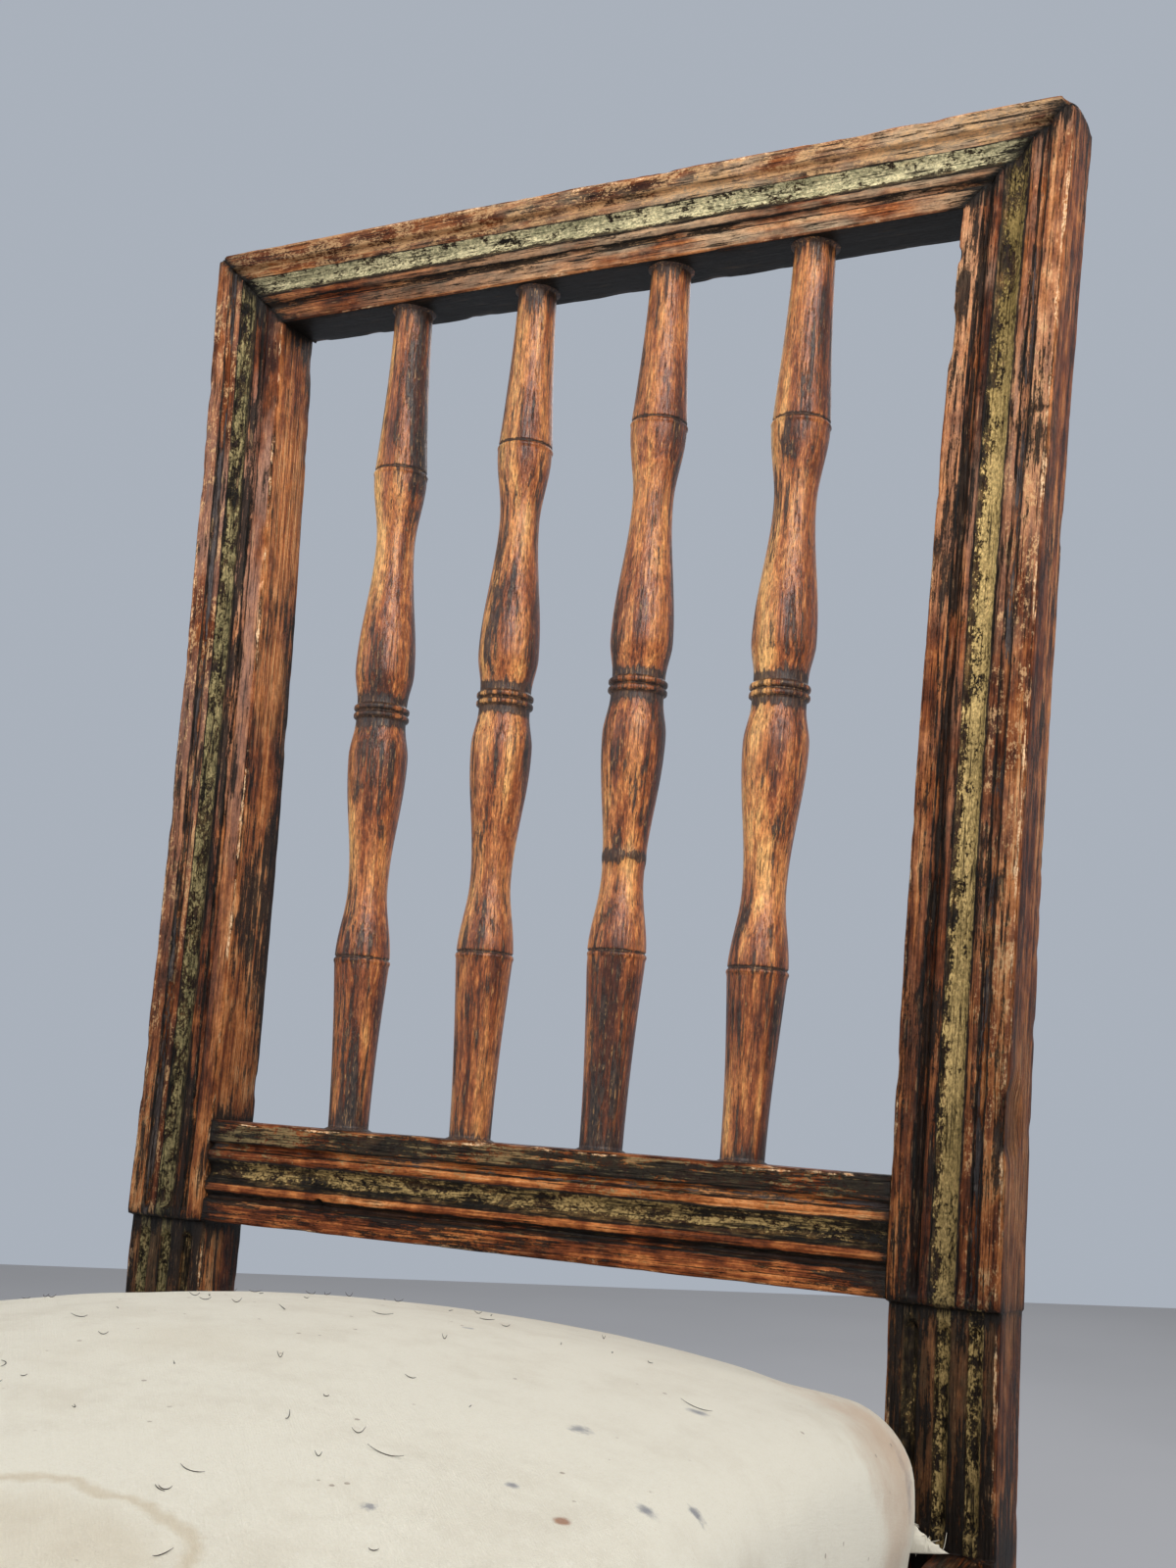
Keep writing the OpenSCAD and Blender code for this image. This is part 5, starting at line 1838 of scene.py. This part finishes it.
        far = float(np.linalg.norm(move, axis=1).max())
        log.info("swelling: moved %.1f mm at most before scaling", far)
        return points + move * min(1.0, self.most_move / far)

    def settle(self, points: Array, hold: Array) -> Array:
        """Gives the cloth its slow lumps, and the pulls that fade in from its tacked edge.

        Args:
            points: the swollen cloth.
            hold: 1 for each point that the tacks hold.

        Returns:
            The moved points.
        """
        s = SIZES
        lumps = Grain(77).layered(points, (85, 85, 85), 3) * 0.8
        lumps = lumps + Grain(78).layered(points, (24, 24, 24), 2) * 0.25
        around = np.arctan2(points[:, 1] + s.seat_d / 2, points[:, 0])
        pulls = Grain(79).layered(joined(around * 9, 0, 0), (0.9, 1, 1), 3)
        low = ease(points[:, 2], s.seat_h + 48, s.seat_h + 12)
        free = 1 - hold
        moved = points.copy()
        moved[:, 2] += lumps * free * (1 - low)
        out = points[:, :2] - np.array([0, -s.seat_d / 2])
        out = out / np.maximum(np.linalg.norm(out, axis=1, keepdims=True), 1)
        moved[:, :2] += out * (1.2 * pulls * low * free)[:, None]
        return moved

    def cushion(self, material: Material) -> Array:
        """Makes the stuffed calico and dresses it.

        Args:
            material: the calico.

        Returns:
            The points of the cushion's top, as a square grid.
        """
        points, uv, faces, hold, number = self.shell()
        points = self.swell(points, faces, hold)
        points = self.settle(points, hold)
        made = Piece("calico_cushion", points, faces, uv=uv * MM).build()
        thicken(made, self.cloth_t)
        smooth = made.modifiers.new("smooth", "SUBSURF")
        smooth.levels = smooth.render_levels = 1
        place_piece(made, material, "calico", "calico_cover", "horsehair_stuffing")
        return points[number]

    def torn_corner(self, material: Material) -> None:
        """The frayed end of the calico that sticks out at the right-hand back corner.

        A three-cornered flap: one side hangs down the cushion's corner, and the loose side runs from its top
        out to a ragged tip that lies on the rim. It bellies outwards as half a sine wave.

        Args:
            material: the calico.
        """
        s, n = SIZES, 40
        out, down = np.meshgrid(np.linspace(0, 1, n), np.linspace(0, 1, n), indexing="ij")
        top, foot, tip = (np.array([*self.flap[k], s.seat_h + self.flap_z[k]]) for k in range(3))
        rag = Grain(91).layered(joined(down * 30, 0, 0), (1.6, 1, 1), 2)
        frayed = out + 0.14 * rag * ease(out, 0.6, 1) * ease(down, 0.4, 0.8)
        grid = top + (foot - top) * down[..., None] + (tip - foot) * (down**2 * frayed)[..., None]
        belly = np.sin(np.pi * np.clip(out, 0, 1)) * np.sin(np.pi * np.clip(0.15 + 0.7 * down, 0, 1))
        wave = Grain(92).layered(joined(out * 20, down * 20, 0), (8, 8, 8), 2)
        grid = grid + np.array([0.25, -0.95, 0.1]) * (1.8 * belly + 0.7 * wave * out)[..., None]
        grid[..., 2] += 1.4 * np.abs(rag) * ease(out, 0.8, 1) * down
        grid[..., 2] = np.maximum(grid[..., 2], s.seat_h + 0.5)
        flat_map = np.stack([out * down * self.flap_cut[0], down * self.flap_cut[1]], -1)
        made = Piece("torn_calico_corner", grid, quads(n, n, False).tolist(), uv=flat_map * MM).build()
        thicken(made, 0.8)
        place_piece(made, material, "calico")
        self.threads(grid, material)

    def threads(self, grid: Array, material: Material, count: int = 26) -> None:
        """Loose threads that have frayed out of the torn edge, each along an arc of its own.

        Args:
            grid: the flap's points, out to the torn edge and then down.
            material: the calico.
            count: how many there are.
        """
        rng, n = np.random.default_rng(17), len(grid)
        share = np.linspace(0, 1, 8)[:, None]
        row = rng.integers(n // 4, n, count)
        root = grid[rng.integers(n - 6, n, count), row]
        ways = ((0.5, 0.6), (-0.5, 0.5), (-0.1, 0.6))
        heading = np.stack([rng.normal(middle, spread, count) for middle, spread in ways], -1)
        curl = rng.normal(0, 1.2, (count, 3))
        length = rng.uniform(1.5, 4.5, count)[:, None, None]
        line = root[:, None] + length * (heading[:, None] * share + curl[:, None] * np.square(share) / 2)
        line[..., 2] = np.maximum(line[..., 2], SIZES.seat_h + 0.4)
        place_piece(self.strands("frayed_threads", line, 0.14), material, "calico")

    def hairs(self, top: Array, material: Material, count: int = 75) -> None:
        """Short curled horsehairs that have worked out through the calico and lie on it.

        Each is a five-sided tube along an arc whose heading turns evenly, laid on the cushion's top.

        Args:
            top: the cushion's top as a square grid of points.
            material: their finish.
            count: how many there are.
        """
        rng = np.random.default_rng(5)
        rings, r = 9, 0.13
        start = rng.uniform(-0.86, 0.86, (count, 2))
        length, turn = 2 + rng.exponential(3.6, count), rng.normal(0, 1.2, count)
        heading = rng.uniform(0, 2 * math.pi, count)
        share = np.linspace(0, 1, rings)
        bearing = heading[:, None] + turn[:, None] * share
        step = length[:, None] / (rings - 1)
        dx, dy = np.cumsum(np.cos(bearing) * step, 1), np.cumsum(np.sin(bearing) * step, 1)
        half_x, half_y = 190.0, 205.0
        line = self.on_top(top, start[:, :1] + dx / half_x, start[:, 1:] + dy / half_y)
        line[..., 2] += r * 0.8 + 0.9 * np.abs(rng.normal(0, 1, count))[:, None] * np.square(2 * share - 1)
        place_piece(self.strands("loose_horsehairs", line, r), material, "horsehair")

    @staticmethod
    def strands(name: str, line: Array, r: float, sides: int = 5) -> bpy.types.Object:
        """Makes one piece of many fine round strands that taper to both ends.

        Args:
            name: the piece's name.
            line: each strand's middle line, as strands by points by 3.
            r: radius at the middle of a strand.
            sides: sides of each tube.

        Returns:
            The new object.
        """
        count, rings = line.shape[:2]
        share = np.linspace(0, 1, rings)
        along = unit(np.gradient(line, axis=1))
        across = unit(np.cross(along, np.array([0, 0, 1.0])))
        rise = np.cross(across, along)
        angle = np.linspace(0, 2 * math.pi, sides, endpoint=False)
        thin = r * (1 - 0.6 * np.square(2 * share - 1))[None, :, None, None]
        points = line[:, :, None] + thin * (across[:, :, None] * np.cos(angle)[:, None]
                                            + rise[:, :, None] * np.sin(angle)[:, None])
        one = quads(rings, sides, True)[:, ::-1]
        jump = (np.arange(count) * rings * sides)[:, None, None]
        faces = (one[None] + jump).reshape(-1, 4).tolist()
        caps = np.stack([np.arange(sides), (rings - 1) * sides + np.arange(sides)[::-1]])
        faces += (caps[None] + jump).reshape(-1, sides).tolist()
        return Piece(name, points, faces).build()

    @staticmethod
    def on_top(top: Array, u: Array, v: Array) -> Array:
        """Points on the cushion's top at shares from -1 to 1, blended evenly between the four nearest."""
        n = top.shape[0] - 1
        fu, fv = np.clip((u + 1) / 2 * n, 0, n - 1e-6), np.clip((v + 1) / 2 * n, 0, n - 1e-6)
        iu, iv = fu.astype(int), fv.astype(int)
        a, b = (fu - iu)[..., None], (fv - iv)[..., None]
        row = top[iv, iu] * (1 - a) + top[iv, iu + 1] * a
        next_row = top[iv + 1, iu] * (1 - a) + top[iv + 1, iu + 1] * a
        return row * (1 - b) + next_row * b

    def webbing(self, material: Material) -> None:
        """Seven jute straps, woven over and under one another and tacked to the seat frame.

        A strap's height is a middle level plus or minus half its thickness, eased from crossing to crossing.
        """
        s = SIZES
        top = s.seat_h - s.rebate + 0.3 + 1.0 + 0.3 + s.slip_t
        front = -s.seat_d + self.wood_in
        long_pitch = (s.back_w - 2 * (self.wood_in + 8) - self.web_w) / 3 - 4
        cross_pitch = (s.seat_d - self.wood_in - self.wood_back - 2 * s.slip_w) / 3
        long_x = (np.arange(4) - 1.5) * long_pitch
        cross_y = front + s.slip_w + cross_pitch * (np.arange(3) + 0.5)
        y = spaced(front + 8, -self.wood_back - 8, 4.0)
        level = top + self.web_t
        across = np.linspace(-0.5, 0.5, 9) * self.web_w
        straps = []
        for i in range(4):
            over = sum((-1) ** (i + j) * swell(y - cy, 34) for j, cy in enumerate(cross_y))
            z = level - self.web_t / 2 + self.web_t * 0.5 * (over - swell(y - y[0], 20) * 0.2)
            straps.append(joined(long_x[i] + across[None], y[:, None], z[:, None]))
        self.strap_piece("webbing_long", straps, material, "webbing_lengthwise")
        straps, reach = [], 0.0
        for j in range(3):
            half = float(s.side_x(cross_y[j] + self.web_w / 2, self.wood_in + 8))
            x = spaced(-half, half, 4.0)
            over = sum((-1) ** (i + j + 1) * swell(x - lx, 30) for i, lx in enumerate(long_x))
            z = level + self.web_t / 2 + self.web_t * 0.5 * over - self.web_t * 0.5 * (np.abs(over) > 0.2)
            straps.append(joined(x[:, None], cross_y[j] + across[None], z[:, None]))
            reach += 2 * half
        self.strap_piece("webbing_cross", straps, material, "webbing_crosswise")

    def strap_piece(self, name: str, straps: list[Array], material: Material, node: str) -> None:
        points = np.concatenate([strap.reshape(-1, 3) for strap in straps])
        faces, uv, start = [], [], 0
        for strap in straps:
            rows, columns = strap.shape[:2]
            faces += (quads(rows, columns, False) + start).tolist()
            start += rows * columns
            uv.append(strap.reshape(-1, 3)[:, :2])
        made = Piece(name, points, faces, uv=np.concatenate(uv) * MM).build()
        thicken(made, self.web_t - 0.3, 0.0)
        place_piece(made, material, "webbing", node)

    def hessian(self, material: Material) -> None:
        """Hessian stretched over the webbing, its height wavering a little."""
        s, n = SIZES, 48
        line = np.linspace(-1, 1, n + 1)
        v, u = np.meshgrid(line, line, indexing="ij")
        inset = self.wood_in - self.cloth_in + 4
        x, y = self.plan(u, v, inset, self.corner_r - inset)
        base = s.ledge_z + 1.6 + s.slip_t + 2 * self.web_t + 1.2 + 0.5
        z = base + 0.25 * Grain(61).layered(joined(x, y, 0), (40, 40, 1), 2)
        grid = joined(x, y, z)
        faces = quads(n + 1, n + 1, False).tolist()
        made = Piece("hessian_sheet", grid, faces, uv=grid[..., :2] * MM).build()
        thicken(made, 0.8, 0.0)
        place_piece(made, material, "hessian", "hessian")


@dataclass(frozen=True)
class Room:
    """A plain pale floor, soft lamps, a plain background and the camera."""

    floor: Colour = (0.50, 0.51, 0.543)
    backdrop: Colour = (0.40, 0.44, 0.50)
    ambient: float = 0.36
    reach: float = 3.164
    yaw: float = 27.87
    lens: float = 44.555
    sensor: float = 36.0
    eye: tuple[float, float, float] = (0.40274, -0.49036, 0.58320)
    turn: tuple[float, float, float] = (95.7484, -1.9447, 28.8977)

    def lamp(self, name: str, place: Sequence[float], aim: Sequence[float], size: float, watts: float,
             colour: Colour = (1.0, 1.0, 1.0)) -> None:
        """Hangs a square soft lamp that faces a point.

        Args:
            name: the lamp's name.
            place: where it hangs.
            aim: the point that it faces.
            size: its side.
            watts: its power.
            colour: its colour.
        """
        light = bpy.data.lights.new(name, "AREA")
        light.shape, light.size, light.energy, light.color = "SQUARE", size, watts, colour
        made = bpy.data.objects.new(name, light)
        bpy.context.scene.collection.objects.link(made)
        made.location = place
        away = made.location - type(made.location)(aim)
        made.rotation_euler = away.to_track_quat("Z", "Y").to_euler()

    def world(self) -> None:
        """Even soft light all round, with the plain backdrop's colour where it is seen or mirrored."""
        world = bpy.data.worlds.new("soft_room")
        bpy.context.scene.world = world
        world.use_nodes = True
        nodes, link = world.node_tree.nodes, world.node_tree.links.new
        light, seen = nodes["Background"], nodes.new("ShaderNodeBackground")
        for shader, colour, strength in ((light, (1.0, 1.0, 1.0), self.ambient), (seen, self.backdrop, 1.0)):
            shader.inputs[0].default_value = (*colour, 1)
            shader.inputs[1].default_value = strength
        path, mix = nodes.new("ShaderNodeLightPath"), nodes.new("ShaderNodeMixShader")
        shown = path.outputs["Is Camera Ray"]
        for ray in ("Is Glossy Ray", "Is Transmission Ray"):
            either = nodes.new("ShaderNodeMath")
            either.operation = "MAXIMUM"
            link(shown, either.inputs[0])
            link(path.outputs[ray], either.inputs[1])
            shown = either.outputs[0]
        for k, source in enumerate((shown, light.outputs[0], seen.outputs[0])):
            link(source, mix.inputs[k])
        link(mix.outputs[0], nodes["World Output"].inputs[0])

    def lay_floor(self) -> None:
        """Lays a square floor that is turned with the room, in a faintly clouded grey."""
        yaw = math.radians(self.yaw)
        across, ahead = (math.cos(yaw), math.sin(yaw)), (-math.sin(yaw), math.cos(yaw))
        signs = ((-1, -1), (1, -1), (1, 1), (-1, 1))
        corners = [(*(self.reach * (a * across[k] + b * ahead[k]) for k in (0, 1)), 0.0) for a, b in signs]
        mesh = bpy.data.meshes.new("floor")
        mesh.from_pydata(corners, [], [(0, 1, 2, 3)])
        floor = bpy.data.objects.new("floor", mesh)
        bpy.context.scene.collection.objects.link(floor)
        r = Recipe("plain_floor")
        cloud = r.noise(r.place(), (1.5, 1.5, 1.5), 3, 0.5)
        colour = r.mix(cloud.step(0.3, 0.7), self.floor, tuple(0.94 * c for c in self.floor))
        mesh.materials.append(r.finish(colour, 0.7, None, 0.2))

    def build(self) -> None:
        """Lays the floor, hangs the lamps and sets the camera and the view."""
        self.lay_floor()
        self.world()
        self.lamp("key", (1.25, -1.35, 1.9), (0, 0.2, 0.75), 1.2, 42, (1.0, 0.97, 0.93))
        self.lamp("fill", (-1.9, -1.5, 1.6), (0, 0.1, 0.6), 1.6, 14, (0.93, 0.96, 1.0))
        self.lamp("back", (-0.6, 2.4, 2.2), (0, 0.1, 0.6), 1.6, 16)
        self.lamp("side", (2.0, 0.1, 1.5), (0, 0.1, 0.65), 1.4, 8, (1.0, 0.97, 0.93))
        view = bpy.data.cameras.new("camera")
        view.lens, view.sensor_width, view.sensor_fit = self.lens, self.sensor, "AUTO"
        view.clip_start = 0.02
        camera = bpy.data.objects.new("camera", view)
        bpy.context.scene.collection.objects.link(camera)
        camera.location = self.eye
        camera.rotation_euler = tuple(math.radians(a) for a in self.turn)
        bpy.context.scene.camera = camera
        bpy.context.scene.view_settings.view_transform = "Standard"


def dress_nodes(nodes: dict[str, bpy.types.Object], names: Sequence[str], material: Material) -> None:
    """Gives carried-over solids their finish."""
    for name in names:
        mesh = nodes[name].data
        mesh.materials.clear()
        mesh.materials.append(material)


def build_back() -> None:
    """The moulded back with its two posts, two rails and four spindles."""
    s = SIZES
    right_wear = Wear(11, marks=(
        Mark(-17, 331, 0, (4.5, 1.5, 3), 0.7, dark=0.3),
        Mark(-20, 66, 6, (6, 16, 12), 1.6, dark=0.5),
        Mark(-21, 40, 16, (5, 75, 14), 0.3, bare=0.85),
        Mark(21, 365, 2, (4, 12, 5), 1.3, bare=0.5),
        Mark(21, 398, 2, (3, 4, 4), 1.0, dark=0.6),
    ))
    left_wear = Wear(23, marks=(
        Mark(-2.5, 429, 0, (4, 4, 5), 0.5, dark=0.8),
        Mark(21, 240, 12, (5, 30, 12), 0.2, bare=0.8),
        Mark(21, 330, 16, (5, 50, 14), 0.1, bare=0.9),
    ))
    top_wear = Wear(51, chip=1.0, marks=(Mark(-19, 85, 8, (5, 60, 10), 0.2, bare=0.7),))
    low_wear = Wear(67, chip=0.9, marks=(Mark(9, 140, 2, (2.2, 2.2, 4), 1.4, dark=1.0),))
    dim = AgedPaint(
        "aged_paint_left", (0.38, 0.30, 0.14), (0.07, 0.07, 0.032), 3.3, dust=0.7,
        settled=(0.36, 0.21, 0.155),
        black=(-0.04, 0.22, 0.0, 0.08, 0.20, 0.02, -0.10), held=(0.0, 0.04, 0.06, 0.14, 0.0, 0.04, 0.04),
        reach=(0.0, 0.32), foot=0.66, sides=0.11)
    bright = AgedPaint(
        "aged_paint_right", (0.74, 0.53, 0.22), (0.20, 0.14, 0.045), 7.7, dust=0.4,
        settled=(0.58, 0.36, 0.24),
        black=(0.01, 0.13, 0.0, -0.04, 0.06, 0.24, 0.08), held=(0.03, 0.0, 0.02, 0.30, 0.0, -0.1, 0.0),
        gilt_to=0.33, foot=0.5, head=1.15, sides=0.02, edge=0.36)
    crest = AgedPaint(
        "aged_paint_crest", (0.80, 0.70, 0.42), (0.15, 0.16, 0.08), 12.1, dust=0.7,
        settled=(0.52, 0.41, 0.27),
        black=(-0.02, -0.30, -0.12, -0.06, -0.08, 0.14, -0.06), held=(0.1, 0.2, 0.12, 0.26, 0.04, 0.0, 0.06),
        reach=(0.0, 0.33), foot=0.85, head=1.12, edge=0.4, lines=(-5.0, 5.0, 9.0, 12.6))
    lower = AgedPaint(
        "aged_paint_lower", (0.42, 0.29, 0.12), (0.11, 0.075, 0.025), 18.9, foot=1.1, head=1.1,
        black=(0.16, 0.02, -0.3, 0.06, -0.18, 0.28, 0.06), held=(0.2, 0.02, 0.0, 0.12, 0.0, 0.0, -0.1),
        tan=(0.20, 0.15, 0.07))
    BackPost(Hand.LEFT, SideTones(0.5, 0.62, 0.42, 0.42), left_wear).build(dim.build())
    BackPost(Hand.RIGHT, SideTones(0.5, 0.5, 0.42, 0.46), right_wear).build(bright.build())
    spindles = [
        Spindle(0, "outer_left", 72.0, 178.9, 186.6, 294.2, 31),
        Spindle(1, "inner_left", 75.7, 181.4, 190.6, 299.4, 37),
        Spindle(2, "inner_right", 77.6, 185.0, 193.6, 302.9, 41, band_at=117.5),
        Spindle(3, "outer_right", 72.3, 179.2, 189.6, 295.9, 43),
    ]
    heads, feet = [k.head_x() for k in spindles], [k.foot_x() for k in spindles]
    # The crest rail's underside tone of -0.6, below black, is partly painted shade.
    MouldedBar("crest_bar", "crest_rail", s.crest_h, s.crest_d, s.back_len, True,
               SideTones(0.5, -0.6, 0.4, 0.7), top_wear).build(crest.build(), heads)
    MouldedBar("lower_bar", "lower_back_rail", s.lower_h, s.lower_d, s.lower_h, False,
               SideTones(0.46, 0.2, 0.4, 0.42), low_wear).build(lower.build(), feet)
    for spindle, light in zip(spindles, SPINDLE_TONES):
        timber = TurnedTimber(f"turned_timber_{spindle.name}", 6.1 * spindle.order, light)
        spindle.build(timber.build())


def build_seat(nodes: dict[str, bpy.types.Object]) -> None:
    """The seat: rails and legs, the drop-in frame, its webbing and its stuffed calico.

    Args:
        nodes: the carried-over solids by name.
    """
    SeatBase(AgedPaint("stained_rails", shift=31.0, foot=0.8, head=0.8).build()).build()
    calico, soft = AgedCalico().build(), DropInSeat()
    top = soft.cushion(calico)
    soft.torn_corner(calico)
    hair = BareWood("dark_hair", 0, (0.05, 0.035, 0.028), (0.03, 0.022, 0.018), (0.012, 0.01, 0.009))
    soft.hairs(top, hair.build())
    soft.webbing(WovenCloth("jute_webbing", 0.003, (0.42, 0.30, 0.16), (0.16, 0.10, 0.05)).build())
    soft.hessian(WovenCloth("hessian_weave", 0.0024, (0.46, 0.34, 0.19), (0.14, 0.09, 0.045)).build())
    along_x, along_y = BareWood("bare_wood_across", 0).build(), BareWood("bare_wood_lengthwise", 1).build()
    blocks = [f"corner_block_{end}_{side}" for end in ("front", "back") for side in ("left", "right")]
    dress_nodes(nodes, ["seat_frame_front", "seat_frame_back", *blocks], along_x)
    dress_nodes(nodes, ["seat_frame_left", "seat_frame_right"], along_y)
    dress_nodes(nodes, ["seat_rail_pegs"], BareWood("peg_end_wood", 2, (0.30, 0.17, 0.08)).build())
    dress_nodes(nodes, ["corner_block_nails", "webbing_tacks", "cover_tacks"], RustyIron().build())


def main() -> None:
    """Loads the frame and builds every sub-assembly in order."""
    logging.basicConfig(level=logging.INFO, format="%(name)s: %(message)s")
    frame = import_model()
    Room().build()
    build_back()
    build_seat(frame["nodes"])
    bpy.context.view_layer.update()


if __name__ == "__main__":
    main()
